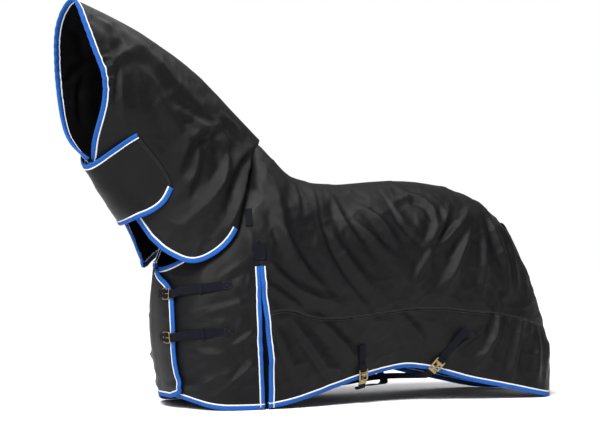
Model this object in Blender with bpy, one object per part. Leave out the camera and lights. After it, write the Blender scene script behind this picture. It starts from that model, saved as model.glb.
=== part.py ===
"""Turnout rug with a full neck cover, worn shape, facing -X, near (left) side at -Y.

Every fabric piece is cut from one of three smooth surfaces: the body, the neck and the tail flap.
A surface is a natural cubic spline through a small net of stations.  Panels are grids on a surface,
given thickness along its normals; tapes wrap a panel's edge; straps and metal lie on it.
Metres, +Z up.  The origin is at the middle of the floor under the whole rug.
"""

import math

import bpy
import numpy as np
from mathutils import Matrix, Vector

# ---------------------------------------------------------------- driving dimensions
BODY_CENTRE_X = 0.7592         # moves the stations so that the rug is centred on the origin
SHELL = 0.0040                 # outer fabric with its filling
PLY_GAP = 0.0004               # clearance between layers that lie on each other
LINING = 0.0025
TAPE = 0.0015                  # binding tape
TAPE_WIDTH = 0.026             # how far a tape reaches over its panel
OVERLAP_LIFT = 0.0160          # off chest panel over the near one
WEBBING = 0.0025
WEBBING_WIDTH = 0.038
SEAM_GAP = 0.0005
TAPE_GAP = 0.0011
NECK_TURN = math.radians(10.0) # the neck is carried a little towards the near side
NECK_PIVOT_X = 0.30
NECK_TURN_LENGTH = 0.45
STACK = SHELL + PLY_GAP + LINING

# Near-side stations of the body, chest centre to rear centre.  Each runs from the neckline or the
# ridge down to the hem: (x from the chest, distance from the middle plane, height).
BODY_STATIONS = (
    ((0.035, 0, 0.615), (0.030, 0, 0.525), (0.028, 0, 0.430), (0.030, 0, 0.335),
     (0.040, 0, 0.240), (0.055, 0, 0.145), (0.075, 0, 0.050)),
    ((0.075, 0.130, 0.645), (0.065, 0.160, 0.545), (0.060, 0.175, 0.445), (0.062, 0.180, 0.340),
     (0.072, 0.180, 0.240), (0.085, 0.175, 0.140), (0.105, 0.165, 0.038)),
    ((0.160, 0.215, 0.735), (0.145, 0.262, 0.615), (0.138, 0.285, 0.495), (0.140, 0.293, 0.375),
     (0.148, 0.294, 0.250), (0.160, 0.292, 0.130), (0.172, 0.288, 0.010)),
    ((0.290, 0.210, 0.900), (0.265, 0.290, 0.765), (0.250, 0.332, 0.610), (0.250, 0.345, 0.460),
     (0.255, 0.348, 0.310), (0.262, 0.343, 0.155), (0.275, 0.335, 0.004)),
    ((0.410, 0.115, 1.060), (0.385, 0.238, 0.940), (0.368, 0.322, 0.775), (0.363, 0.355, 0.590),
     (0.368, 0.362, 0.400), (0.380, 0.352, 0.200), (0.395, 0.338, 0.006)),
    ((0.500, 0, 1.172), (0.490, 0.180, 1.055), (0.487, 0.305, 0.875), (0.495, 0.360, 0.670),
     (0.505, 0.365, 0.460), (0.525, 0.355, 0.250), (0.550, 0.340, 0.030)),
    ((0.600, 0, 1.068), (0.590, 0.185, 0.990), (0.588, 0.305, 0.835), (0.592, 0.355, 0.650),
     (0.600, 0.360, 0.450), (0.620, 0.345, 0.255), (0.650, 0.325, 0.054)),
    ((0.720, 0, 1.007), (0.712, 0.180, 0.955), (0.705, 0.300, 0.815), (0.703, 0.350, 0.640),
     (0.710, 0.350, 0.450), (0.725, 0.330, 0.260), (0.750, 0.303, 0.080)),
    ((0.930, 0, 0.992), (0.930, 0.180, 0.945), (0.930, 0.305, 0.815), (0.932, 0.350, 0.650),
     (0.940, 0.345, 0.470), (0.955, 0.310, 0.295), (0.975, 0.262, 0.132)),
    ((1.200, 0, 1.012), (1.200, 0.185, 0.962), (1.195, 0.310, 0.830), (1.195, 0.355, 0.660),
     (1.195, 0.350, 0.480), (1.200, 0.315, 0.310), (1.205, 0.262, 0.152)),
    ((1.440, 0, 0.992), (1.440, 0.175, 0.945), (1.435, 0.300, 0.820), (1.430, 0.350, 0.650),
     (1.425, 0.355, 0.460), (1.420, 0.335, 0.280), (1.420, 0.305, 0.097)),
    ((1.620, 0, 0.935), (1.635, 0.145, 0.885), (1.645, 0.255, 0.775), (1.655, 0.315, 0.610),
     (1.660, 0.340, 0.425), (1.655, 0.345, 0.235), (1.645, 0.335, 0.050)),
    ((1.735, 0, 0.870), (1.762, 0.095, 0.805), (1.790, 0.175, 0.690), (1.825, 0.235, 0.545),
     (1.860, 0.275, 0.370), (1.885, 0.300, 0.190), (1.870, 0.318, 0.006)),
    ((1.785, 0, 0.825), (1.812, 0.055, 0.765), (1.850, 0.100, 0.650), (1.890, 0.135, 0.510),
     (1.930, 0.155, 0.350), (1.955, 0.175, 0.175), (1.950, 0.190, 0.006)),
    ((1.825, 0, 0.770), (1.855, 0, 0.650), (1.890, 0, 0.520), (1.925, 0, 0.385),
     (1.950, 0, 0.255), (1.970, 0, 0.130), (1.975, 0, 0.006)),
)
RIDGE_STATIONS = range(5, 15)  # stations whose top lies on the middle plane
SLIT_STATION = 4

# Stations of the neck cover, face opening to rear edge, each from the crest down to the throat.
NECK_STATIONS = (
    ((-0.430, 0, 1.762), (-0.440, 0.105, 1.675), (-0.420, 0.165, 1.543), (-0.392, 0.202, 1.415),
     (-0.385, 0.178, 1.285), (-0.382, 0.105, 1.160), (-0.337, 0.014, 1.083)),
    ((-0.250, 0, 1.700), (-0.270, 0.120, 1.620), (-0.275, 0.175, 1.500), (-0.262, 0.202, 1.370),
     (-0.258, 0.190, 1.240), (-0.275, 0.125, 1.120), (-0.300, 0.020, 1.015)),
    ((-0.030, 0, 1.608), (-0.060, 0.130, 1.530), (-0.085, 0.190, 1.410), (-0.100, 0.215, 1.280),
     (-0.120, 0.200, 1.150), (-0.170, 0.130, 1.040), (-0.250, 0.028, 0.950)),
    ((0.180, 0, 1.492), (0.140, 0.140, 1.410), (0.098, 0.205, 1.290), (0.058, 0.238, 1.165),
     (0.015, 0.222, 1.040), (-0.065, 0.150, 0.940), (-0.195, 0.040, 0.888)),
    ((0.365, 0, 1.333), (0.300, 0.140, 1.240), (0.232, 0.222, 1.110), (0.170, 0.270, 0.975),
     (0.095, 0.255, 0.860), (-0.010, 0.185, 0.805), (-0.140, 0.060, 0.820)),
    ((0.520, 0, 1.190), (0.428, 0.122, 1.095), (0.328, 0.248, 0.935), (0.270, 0.318, 0.785),
     (0.175, 0.300, 0.682), (0.045, 0.218, 0.640), (-0.078, 0.092, 0.722)),
)
# The off half hangs lower at its front corner: (station, column) -> point.
NECK_OFF_CHANGES = {
    (5, 6): (-0.046, 0.040, 0.635),
    (5, 5): (0.048, 0.190, 0.615),
    (4, 6): (-0.125, 0.040, 0.780),
}

TAIL_FLAP_ROWS = (
    ((1.803, -0.170, 0.700), (1.800, -0.085, 0.795), (1.815, 0, 0.822), (1.800, 0.085, 0.795),
     (1.803, 0.170, 0.700)),
    ((1.866, -0.175, 0.600), (1.872, -0.088, 0.660), (1.876, 0, 0.680), (1.872, 0.088, 0.660),
     (1.866, 0.175, 0.600)),
    ((1.922, -0.180, 0.490), (1.922, -0.090, 0.520), (1.918, 0, 0.535), (1.922, 0.090, 0.520),
     (1.922, 0.180, 0.490)),
    ((1.965, -0.182, 0.370), (1.962, -0.091, 0.385), (1.955, 0, 0.395), (1.962, 0.091, 0.385),
     (1.965, 0.182, 0.370)),
)

MATERIALS = {
    "shell_fabric": ((0.028, 0.028, 0.030, 1.0), 0.48, 0.0),
    "lining_fabric": ((0.006, 0.006, 0.007, 1.0), 0.75, 0.0),
    "binding_tape": ((0.020, 0.150, 0.620, 1.0), 0.55, 0.0),
    "webbing": ((0.010, 0.010, 0.020, 1.0), 0.70, 0.0),
    "brass": ((0.760, 0.640, 0.400, 1.0), 0.28, 1.0),
    "hook_and_loop": ((0.015, 0.015, 0.017, 1.0), 0.90, 0.0),
}


# ---------------------------------------------------------------- splines and surfaces
def spline_weights(knots, t):
    """Weights of a natural cubic spline's data at t, so that value = weights @ data."""
    n = len(knots)
    h = np.diff(knots)
    lhs = np.eye(n)
    rhs = np.zeros((n, n))
    for i in range(1, n - 1):
        lhs[i, i - 1:i + 2] = (h[i - 1], 2.0 * (h[i - 1] + h[i]), h[i])
        rhs[i, i - 1:i + 2] = (6.0 / h[i - 1], -6.0 / h[i - 1] - 6.0 / h[i], 6.0 / h[i])
    curvature = np.linalg.solve(lhs, rhs)
    k = int(np.clip(np.searchsorted(knots, t) - 1, 0, n - 2))
    b = (t - knots[k]) / h[k]
    a = 1.0 - b
    weights = ((a ** 3 - a) * curvature[k] + (b ** 3 - b) * curvature[k + 1]) * h[k] ** 2 / 6.0
    weights[k] += a
    weights[k + 1] += b
    return weights


def spline_value(pairs, t):
    """Smooth single value through (t, value) pairs."""
    knots = np.array([p[0] for p in pairs])
    return float(spline_weights(knots, t) @ np.array([p[1] for p in pairs]))


class Net:
    """Smooth surface through a net of points, with one knot list each way."""

    def __init__(self, points, u_knots, v_knots):
        self.points = points
        self.u_knots = u_knots
        self.v_knots = v_knots
        self.cache_u = {}
        self.cache_v = {}

    def at(self, u, v):
        ku = round(u, 9)
        kv = round(v, 9)
        if ku not in self.cache_u:
            self.cache_u[ku] = spline_weights(self.u_knots, u)
        if kv not in self.cache_v:
            self.cache_v[kv] = spline_weights(self.v_knots, v)
        return np.einsum("i,ijk,j->k", self.cache_u[ku], self.points, self.cache_v[kv])


MIRROR = np.array((1.0, -1.0, 1.0))


def body_net():
    near = np.array(BODY_STATIONS, dtype=float) * MIRROR
    before = []
    for i, station in enumerate(near):
        if i in RIDGE_STATIONS:
            before.append(station[1] * MIRROR)
        else:
            before.append(2.0 * station[0] - station[1])
    near = np.concatenate([np.array(before)[:, None], near], axis=1)
    near = np.concatenate([near[1:2] * MIRROR, near, near[-2:-1] * MIRROR], axis=0)
    middle = near[:, 5]
    run = np.concatenate([[0.0], np.cumsum(np.linalg.norm(np.diff(middle, axis=0), axis=1))])
    u_knots = (run - run[1]) / (run[-2] - run[1])
    v_knots = np.arange(-1, 7) / 6.0
    return Net(near, u_knots, v_knots), run[-2] - run[1]


BODY, BODY_RUN = body_net()
SLIT_U = float(BODY.u_knots[SLIT_STATION + 1])
WITHERS_U = float(BODY.u_knots[RIDGE_STATIONS[0] + 1])


def neck_net(changes):
    half = np.array(NECK_STATIONS, dtype=float)
    for key, point in changes.items():
        half[key] = point
    half = np.concatenate([(half[:, 1] * MIRROR)[:, None], half], axis=1)
    return Net(half, np.arange(6) / 5.0, np.arange(-1, 7) / 6.0)


NECK = {-1: neck_net({}), 1: neck_net(NECK_OFF_CHANGES)}


def smooth(a):
    a = min(max(a, 0.0), 1.0)
    return a * a * (3.0 - 2.0 * a)


def turned(p):
    """Carries the front of the neck towards the near side."""
    angle = NECK_TURN * smooth((NECK_PIVOT_X - p[0]) / NECK_TURN_LENGTH)
    c = math.cos(angle)
    s = math.sin(angle)
    dx = p[0] - NECK_PIVOT_X
    return np.array((NECK_PIVOT_X + dx * c - p[1] * s, dx * s + p[1] * c, p[2]))


TO_ORIGIN = np.array((-BODY_CENTRE_X, 0.0, 0.0))


def body_at(w, v, side=-1):
    """Body surface.  side -1: w > 0 is the near half.  side +1: w > 0 is the off half."""
    p = BODY.at(abs(w), v)
    if abs(w) >= WITHERS_U - 1e-9:
        # keeps the ridge exactly on the middle plane between its stations
        p = p - np.array((0.0, BODY.at(abs(w), 0.0)[1], 0.0)) * max(0.0, 1.0 - v / 0.25) ** 2
    if w < 0:
        p = p * MIRROR
    if side > 0:
        p = p * MIRROR
    return p + TO_ORIGIN


def neck_at(s, t, side=-1):
    p = NECK[side].at(s, t)
    p = np.array((p[0], side * p[1], p[2]))
    return turned(p) + TO_ORIGIN


TAIL = Net(np.array(TAIL_FLAP_ROWS, dtype=float), np.arange(4) / 3.0, np.arange(5) / 4.0)


TAIL_FLAP_SHARE = 0.52


def tail_at(p, q, side=-1):
    """Point of the tail flap, which takes the middle share of the surface over the dock."""
    return TAIL.at(p, 0.5 + (q - 0.5) * TAIL_FLAP_SHARE) + TO_ORIGIN


def unit(v):
    return v / np.linalg.norm(v)


STEP = 1e-4


def slopes(surface, a, b, side):
    da = surface(a + STEP, b, side) - surface(a - STEP, b, side)
    db = surface(a, b + STEP, side) - surface(a, b - STEP, side)
    return da / (2 * STEP), db / (2 * STEP)


def normal(surface, a, b, side):
    """Outward unit normal."""
    on_ridge = surface is body_at and abs(b) < 1e-9 and a >= WITHERS_U - 1e-9
    if on_ridge:
        da, db = slopes(surface, min(a + 2 * STEP, 0.995), 0.02, side)
    else:
        da, db = slopes(surface, a, b, side)
    n = unit(np.cross(db, da)) * (-side)
    if surface.__name__ in ("tail_at", "flap_at"):
        n = -n
    if on_ridge:
        n = unit(np.array((n[0], 0.0, n[2])))
    return n


# ---------------------------------------------------------------- mesh helpers
def clear_scene():
    for obj in list(bpy.data.objects):
        bpy.data.objects.remove(obj, do_unlink=True)


def material(name):
    mat = bpy.data.materials.get(name)
    if mat is None:
        colour, roughness, metallic = MATERIALS[name]
        mat = bpy.data.materials.new(name)
        mat.use_nodes = True
        shader = mat.node_tree.nodes["Principled BSDF"]
        shader.inputs["Base Color"].default_value = colour
        shader.inputs["Roughness"].default_value = roughness
        shader.inputs["Metallic"].default_value = metallic
        mat.diffuse_color = colour
    return mat


def add_mesh(name, verts, faces, slot, matrix=None):
    mesh = bpy.data.meshes.new(name)
    mesh.from_pydata([tuple(v) for v in verts], [], faces)
    mesh.update()
    mesh.materials.append(material(slot))
    obj = bpy.data.objects.new(name, mesh)
    bpy.context.scene.collection.objects.link(obj)
    if matrix is not None:
        obj.matrix_world = matrix
    return obj


class Skin:
    """Grids on a surface, welded where they share points, made into one thick closed solid.

    Every cell is split along the same diagonal, so that layers and tapes stay parallel.
    """

    def __init__(self):
        self.index = {}
        self.points = []
        self.normals = []
        self.faces = []

    def vertex(self, point, n):
        key = tuple(np.round(point, 5))
        if key not in self.index:
            self.index[key] = len(self.points)
            self.points.append(point)
            self.normals.append(n)
        return self.index[key]

    def add_grid(self, points, normals, flip):
        ids = [[self.vertex(p, n) for p, n in zip(pr, nr)] for pr, nr in zip(points, normals)]
        for i in range(len(ids) - 1):
            for j in range(len(ids[0]) - 1):
                start = ids[i][j]
                across = ids[i + 1][j + 1]
                for corner in ((start, ids[i + 1][j], across), (start, across, ids[i][j + 1])):
                    if len(set(corner)) == 3:
                        self.faces.append(corner[::-1] if flip else corner)

    def solid(self, name, outer, inner, slot):
        pts = np.array(self.points)
        nrm = np.array(self.normals)
        n = len(pts)
        verts = np.concatenate([pts + nrm * outer, pts + nrm * inner])
        edges = set()
        for face in self.faces:
            for k in range(3):
                edges.add((face[k - 1], face[k]))
        faces = list(self.faces)
        faces += [tuple(i + n for i in face[::-1]) for face in self.faces]
        for a, b in sorted(edges):
            if (b, a) not in edges:
                faces.append((b, a, a + n, b + n))
        return add_mesh(name, verts, faces, slot)


def tape(name, edge, inside, from_edge, depth=STACK):
    """U-shaped tape round a panel's edge.  edge and inside are lists of (point, normal).

    from_edge says, for each step, whether the panel's cell is split from the edge towards the
    next inside point.
    """
    if isinstance(from_edge, bool):
        from_edge = [from_edge] * (len(edge) - 1)
    top = TAPE_GAP
    bottom = -depth - TAPE_GAP
    verts = []
    for (pe, ne), (pi, ni) in zip(edge, inside):
        out = unit(pe - pi)
        verts += [
            pi + ni * (top + TAPE), pe + out * (TAPE + TAPE_GAP) + ne * (top + TAPE),
            pe + out * (TAPE + TAPE_GAP) + ne * (bottom - TAPE), pi + ni * (bottom - TAPE),
            pi + ni * bottom, pe + out * TAPE_GAP + ne * bottom,
            pe + out * TAPE_GAP + ne * top, pi + ni * top,
        ]
    faces = []
    on_edge = (False, True, True, False, False, True, True, False)
    for i in range(len(edge) - 1):
        for k in range(8):
            a = i * 8 + k
            b = i * 8 + (k + 1) % 8
            if on_edge[k] == from_edge[i]:
                faces += [(a, b, b + 8), (a, b + 8, a + 8)]
            else:
                faces += [(a, b, a + 8), (b, b + 8, a + 8)]
    end = (len(edge) - 1) * 8
    faces += [(7, 6, 1, 0), (6, 5, 2, 1), (5, 4, 3, 2)]
    faces += [tuple(end + k for k in ring) for ring in ((0, 1, 6, 7), (1, 2, 5, 6), (2, 3, 4, 5))]
    return make_outward(add_mesh(name, verts, faces, "binding_tape"))


def ring_faces(count, size):
    faces = []
    for i in range(count - 1):
        for k in range(size):
            a = i * size + k
            b = i * size + (k + 1) % size
            faces.append((a, b, b + size, a + size))
    faces.append(tuple(reversed(range(size))))
    faces.append(tuple((count - 1) * size + k for k in range(size)))
    return faces


def make_outward(obj):
    """Turns a closed mesh right side out, from the sign of its volume."""
    mesh = obj.data
    mesh.calc_loop_triangles()
    volume = 0.0
    for tri in mesh.loop_triangles:
        a, b, c = (mesh.vertices[i].co for i in tri.vertices)
        volume += a.dot(b.cross(c))
    if volume < 0.0:
        mesh.flip_normals()
    return obj


def ribbon(name, rows, thickness, slot, skip=0.0):
    """Strap from rows of (left point, right point, normal); it lies on top of those points."""
    verts = []
    for left, right, n in rows:
        verts += [left + n * skip, right + n * skip,
                  right + n * (skip + thickness), left + n * (skip + thickness)]
    return make_outward(add_mesh(name, verts, ring_faces(len(rows), 4), slot))


# ---------------------------------------------------------------- body panels
SLIT_TOP_V = 0.455
SEAM_LINE = ((0.0, 0.645), (0.20, 0.645), (0.30, 0.695), (0.45, 0.732), (0.60, 0.722),
             (0.75, 0.712), (0.90, 0.702), (1.0, 0.705))
OFF_EDGE = ((0.0, 0.0), (0.06, 0.045), (0.12, 0.100), (0.20, 0.143), (0.30, 0.157), (0.50, 0.160),
            (0.72, 0.150), (0.85, 0.164), (0.94, 0.160), (1.0, 0.115))
NEAR_EDGE = 0.030              # the near chest panel runs this far past the middle, underneath
REAR_OPENING = ((0.0, 0.0), (0.1, 0.030), (0.3, 0.080), (0.6, 0.120), (1.0, 0.140))
SLIT_FRONT_GAP = ((0.0, 0.0), (0.6, 0.004), (1.0, 0.004))
SLIT_REAR_GAP = ((0.0, 0.0), (0.30, 0.012), (0.75, 0.030), (1.0, 0.020))
ROWS_TO_SLIT = 5
ROWS_TO_SEAM = 2
ROWS_TO_HEM = 4
FRONT_COLUMNS = 10
BACK_COLUMNS = 14


def run_u(metres):
    return metres / BODY_RUN


def tape_dv(u, v):
    slope = (BODY.at(u, min(v + 0.01, 1.0)) - BODY.at(u, max(v - 0.01, 0.0)))
    span = min(v + 0.01, 1.0) - max(v - 0.01, 0.0)
    return TAPE_WIDTH / (np.linalg.norm(slope) / span)


def row_values(u):
    """v of every grid row at u: neckline, slit top, seam and hem are rows."""
    u = abs(u)
    seam = spline_value(SEAM_LINE, u)
    top = tape_dv(u, 0.0)
    hem = 1.0 - tape_dv(u, 1.0)
    rows = [0.0]
    rows += list(np.linspace(top, SLIT_TOP_V, ROWS_TO_SLIT))
    rows += list(np.linspace(SLIT_TOP_V, seam, ROWS_TO_SEAM + 1)[1:])
    rows += list(np.linspace(seam, hem, ROWS_TO_HEM)[1:])
    rows.append(1.0)
    return rows


SLIT_ROW = ROWS_TO_SLIT
SEAM_ROW = ROWS_TO_SLIT + ROWS_TO_SEAM
HEM_ROW = SEAM_ROW + ROWS_TO_HEM


def below_slit(pairs, v):
    return run_u(spline_value(pairs, (v - SLIT_TOP_V) / (1.0 - SLIT_TOP_V))) if v > SLIT_TOP_V + 1e-6 else 0.0


def front_columns(side, v):
    """w of the grid columns of a chest and shoulder panel, front edge to slit."""
    first = -run_u(spline_value(OFF_EDGE, v)) if side > 0 else -run_u(NEAR_EDGE)
    last = SLIT_U - below_slit(SLIT_FRONT_GAP, v)
    inset = run_u(TAPE_WIDTH)
    return [first] + list(np.linspace(first + inset, last - inset, FRONT_COLUMNS)) + [last]


def back_columns(v):
    """w of the grid columns from the slit to the rear opening."""
    first = SLIT_U + below_slit(SLIT_REAR_GAP, v)
    last = 1.0 - run_u(spline_value(REAR_OPENING, v))
    inset = run_u(TAPE_WIDTH)
    columns = [first, first + inset]
    columns += list(np.linspace(WITHERS_U, last - inset * min(1.0, v * 8.0 + 0.3), BACK_COLUMNS))
    return columns + [last]


def off_lift(w):
    """The off chest panel rises over the near one before it reaches the middle."""
    return OVERLAP_LIFT * smooth((0.14 - w * BODY_RUN) / 0.11)


def body_grid(side, columns_at, rows, lifted=False):
    """Points and normals of a panel grid; rows is a range of row numbers."""
    points = []
    normals = []
    for i in range(len(columns_at(0.5))):
        column = []
        column_normals = []
        for j in rows:
            v = row_values(0.3)[j]
            for _ in range(4):
                w = columns_at(v)[i]
                v = row_values(w)[j]
            n = normal(body_at, w, v, side)
            lift = off_lift(w) if lifted else 0.0
            column.append(body_at(w, v, side) + n * lift)
            column_normals.append(n)
        points.append(column)
        normals.append(column_normals)
    return points, normals


def seam_offset(grid, row, direction):
    """Moves one row of a grid a hair along the column, which leaves the seam's clearance."""
    points, _ = grid
    for column in points:
        along = unit(column[row + 1] - column[row]) if direction > 0 else unit(column[row - 1] - column[row])
        column[row] = column[row] + along * SEAM_GAP


def body_grids():
    grids = {}
    for side in (-1, 1):
        grids[side, "front"] = body_grid(side, lambda v, s=side: front_columns(s, v),
                                         range(0, HEM_ROW + 1), lifted=side > 0)
        grids[side, "upper"] = body_grid(side, back_columns, range(0, SEAM_ROW + 1))
        grids[side, "lower"] = body_grid(side, back_columns, range(SEAM_ROW, HEM_ROW + 1))
    return grids


SIDES = {-1: "near", 1: "off"}


def build_body_fabric(grids):
    shell = Skin()
    lining = Skin()
    for side in (-1, 1):
        for part in ("front", "upper"):
            points, normals = grids[side, part]
            shell.add_grid(points, normals, side < 0)
            lining.add_grid(points, normals, side < 0)
        points, normals = grids[side, "lower"]
        lining.add_grid(points, normals, side < 0)
    make_outward(shell.solid("outer_shell", 0.0, -SHELL, "shell_fabric"))
    make_outward(lining.solid("body_lining", -SHELL - PLY_GAP, -STACK, "lining_fabric"))
    for side, label in SIDES.items():
        points = [list(c) for c in grids[side, "lower"][0]]
        normals = grids[side, "lower"][1]
        seam_offset((points, normals), 0, 1)
        panel = Skin()
        panel.add_grid(points, normals, side < 0)
        make_outward(panel.solid("lower_panel_" + label, 0.0, -SHELL, "shell_fabric"))


def pair_column(grid, edge, inside, first, last):
    """Edge and inside samples along a grid column, trimmed a hair at both ends."""
    points, normals = grid
    outer = [(points[edge][j], normals[edge][j]) for j in range(first, last + 1)]
    inner = [(points[inside][j], normals[inside][j]) for j in range(first, last + 1)]
    return trimmed(outer), trimmed(inner)


def pair_row(grid, edge, inside, first, last):
    points, normals = grid
    outer = [(points[i][edge], normals[i][edge]) for i in range(first, last + 1)]
    inner = [(points[i][inside], normals[i][inside]) for i in range(first, last + 1)]
    return outer, inner


TRIM = 0.02


def trimmed(samples):
    samples = list(samples)
    for end, other in ((0, 1), (-1, -2)):
        p = samples[end][0] * (1 - TRIM) + samples[other][0] * TRIM
        samples[end] = (p, samples[end][1])
    return samples


def build_body_tapes(grids):
    for side, label in SIDES.items():
        front = grids[side, "front"]
        lower = grids[side, "lower"]
        count = len(front[0]) - 1
        back_count = len(lower[0]) - 1
        rear_rows = HEM_ROW - SEAM_ROW - 1
        tape("hem_binding_front_" + label, *pair_row(front, -1, -2, 0, count), False)
        tape("hem_binding_rear_" + label, *pair_row(lower, -1, -2, 0, back_count), False)
        tape("chest_edge_binding_" + label, *pair_column(front, 0, 1, 1, HEM_ROW - 1), True)
        tape("slit_binding_front_" + label, *pair_column(front, -1, -2, SLIT_ROW + 1, HEM_ROW - 1), False)
        tape("slit_binding_rear_" + label, *pair_column(lower, 0, 1, 0, rear_rows), True)
        tape("rear_edge_binding_" + label, *pair_column(lower, -1, -2, 0, rear_rows), False)
        tape("neckline_binding_" + label, *pair_row(front, 0, 1, 0, count - 2), True)


def v_for_height(w, z, side=-1):
    """v where the body surface at w has height z."""
    low = 0.0
    high = 1.0
    for _ in range(30):
        mid = 0.5 * (low + high)
        if body_at(w, mid, side)[2] > z:
            low = mid
        else:
            high = mid
    return 0.5 * (low + high)


def on_body(w, z, side=-1, lift=0.0):
    """Point and normal on the body at w and height z."""
    v = v_for_height(w, z, side)
    n = normal(body_at, w, v, side)
    return body_at(w, v, side) + n * lift, n


def w_for_x(x, z, side=-1):
    """w where the body surface at height z has the wanted distance behind the chest."""
    low = run_u(0.25)
    high = 0.9
    for _ in range(30):
        mid = 0.5 * (low + high)
        if on_body(mid, z, side)[0][0] + BODY_CENTRE_X < x:
            low = mid
        else:
            high = mid
    return 0.5 * (low + high)


def frame_on_body(w, z, side, lift, tilt=0.0):
    """Local frame on the body: X along the body towards the rear, Z outward, turned by tilt."""
    point, n = on_body(w, z, side, lift)
    ahead = on_body(w + run_u(0.01), z, side, lift)[0] - on_body(w - run_u(0.01), z, side, lift)[0]
    x = unit(ahead - n * np.dot(ahead, n))
    y = np.cross(n, x)
    c = math.cos(tilt)
    s = math.sin(tilt)
    x2 = x * c + y * s
    y2 = y * c - x * s
    return Matrix(((x2[0], y2[0], n[0], point[0]), (x2[1], y2[1], n[1], point[1]),
                   (x2[2], y2[2], n[2], point[2]), (0, 0, 0, 1)))


GUSSET_REACH = 0.050
GUSSET_DEPTH = 0.012


def build_gussets():
    """A black panel behind each shoulder slit, sewn to the lining on both sides of it."""
    for side, label in SIDES.items():
        points = []
        normals = []
        for i in range(5):
            column = []
            column_normals = []
            for z in np.linspace(0.62, 0.016, 7):
                opening = below_slit(SLIT_REAR_GAP, v_for_height(SLIT_U, z, side))
                first = SLIT_U - run_u(GUSSET_REACH)
                w = first + (SLIT_U + opening + run_u(GUSSET_REACH) - first) * i / 4
                point, n = on_body(w, z, side, -GUSSET_DEPTH)
                column.append(point)
                column_normals.append(n)
            points.append(column)
            normals.append(column_normals)
        panel = Skin()
        panel.add_grid(points, normals, side < 0)
        make_outward(panel.solid("gusset_" + label, 0.0, -LINING, "lining_fabric"))


PATCH_HALF = 0.034


def build_slit_patches():
    """Pointed webbing patch over the top of each slit."""
    for side, label in SIDES.items():
        outline = []
        for z_low, z_high, across in ((0.648, 0.722, -1.0), (0.648, 0.735, -0.5), (0.648, 0.748, 0.0),
                                      (0.648, 0.735, 0.5), (0.648, 0.722, 1.0)):
            w = SLIT_U + run_u(PATCH_HALF) * across
            low, n = on_body(w, z_low, side, 0.0022)
            high = on_body(w, z_high, side, 0.0022)[0]
            outline.append((low, high, n))
        ribbon("slit_patch_" + label, outline, WEBBING, "webbing")


# ---------------------------------------------------------------- neck cover
NECK_ROWS = 11
NECK_COLUMNS = 14
NECK_S_LENGTH = 0.95
NECK_T_LENGTH = 0.80
FLAP_LIFT = 0.0130
FLAP_FRONT_LIFT = 0.022        # the flap bridges the gap between the neck's two front edges
FLAP_SEW_T = 0.30
FLAP_SEW_SLANT = 0.07


def neck_grid(side):
    inset_s = TAPE_WIDTH / NECK_S_LENGTH
    inset_t = TAPE_WIDTH / NECK_T_LENGTH
    rows = [0.0] + list(np.linspace(inset_s, 1.0 - inset_s, NECK_ROWS)) + [1.0]
    columns = list(np.linspace(0.0, 1.0 - inset_t, NECK_COLUMNS)) + [1.0]
    points = [[neck_at(s, t, side) for t in columns] for s in rows]
    normals = []
    for s in rows:
        line = []
        for t in columns:
            n = normal(neck_at, s, t, side)
            if t == 0.0:
                other = normal(neck_at, s, t, -side)
                n = unit(n + other)
            line.append(n)
        normals.append(line)
    return points, normals


def build_neck():
    shell = Skin()
    lining = Skin()
    grids = {side: neck_grid(side) for side in (-1, 1)}
    for side in (-1, 1):
        shell.add_grid(*grids[side], side < 0)
        lining.add_grid(*grids[side], side < 0)
    make_outward(shell.solid("neck_shell", 0.0, -SHELL, "shell_fabric"))
    make_outward(lining.solid("neck_lining", -SHELL - PLY_GAP, -STACK, "lining_fabric"))
    rim = [list(zip(grids[side][0][0], grids[side][1][0])) for side in (-1, 1)]
    rim_in = [list(zip(grids[side][0][1], grids[side][1][1])) for side in (-1, 1)]
    edge = rim[0][::-1] + rim[1][1:]
    inside = rim_in[0][::-1] + rim_in[1][1:]
    split = [False] * (len(rim[0]) - 1) + [True] * (len(rim[1]) - 1)
    tape("face_opening_binding", edge, inside, split)
    for side, label in SIDES.items():
        points, normals = grids[side]
        last = NECK_ROWS
        throat = [(points[i][-1], normals[i][-1]) for i in range(1, last + 1)]
        throat_in = [(points[i][-2], normals[i][-2]) for i in range(1, last + 1)]
        tape("neck_front_binding_" + label, trimmed(throat), trimmed(throat_in), False)
        first = NECK_COLUMNS // 2
        low = [(points[-1][j], normals[-1][j]) for j in range(first, NECK_COLUMNS + 1)]
        low_in = [(points[-2][j], normals[-2][j]) for j in range(first, NECK_COLUMNS + 1)]
        tape("neck_lower_binding_" + label, low, low_in, False)


def flap_control(side, a, p):
    t = 1.0 - (FLAP_SEW_T - FLAP_SEW_SLANT * p) * a
    s_top = 0.035 + 0.235 * a
    s_low = 0.770 - 0.150 * a
    s = s_top + (s_low - s_top) * p
    lift = FLAP_LIFT + FLAP_FRONT_LIFT * (1.0 - a) ** 3
    return neck_at(s, t, side) + normal(neck_at, s, t, side) * lift


FLAP_SPREAD = ((-1, 1.0), (-1, 0.75), (-1, 0.5), (-1, 0.25), (-1, 0.10),
               (1, 0.10), (1, 0.25), (1, 0.5), (1, 0.75))


def flap_net():
    rows = np.linspace(0.0, 1.0, 5)
    columns = []
    for side, a in FLAP_SPREAD:
        column = [flap_control(side, a, p) for p in rows]
        if a <= 0.10:
            column = [column[0] + (column[-1] - column[0]) * p for p in rows]
        columns.append(column)
    columns = np.array(columns)
    middle = columns[:, 2]
    run = np.concatenate([[0.0], np.cumsum(np.linalg.norm(np.diff(middle, axis=0), axis=1))])
    return Net(columns, run / run[-1], rows)


FLAP = flap_net()
FLAP_HINGE = 0.5 * float(FLAP.u_knots[4] + FLAP.u_knots[5])


def flap_at(u, p, side=-1):
    return FLAP.at(u, p)


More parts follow.
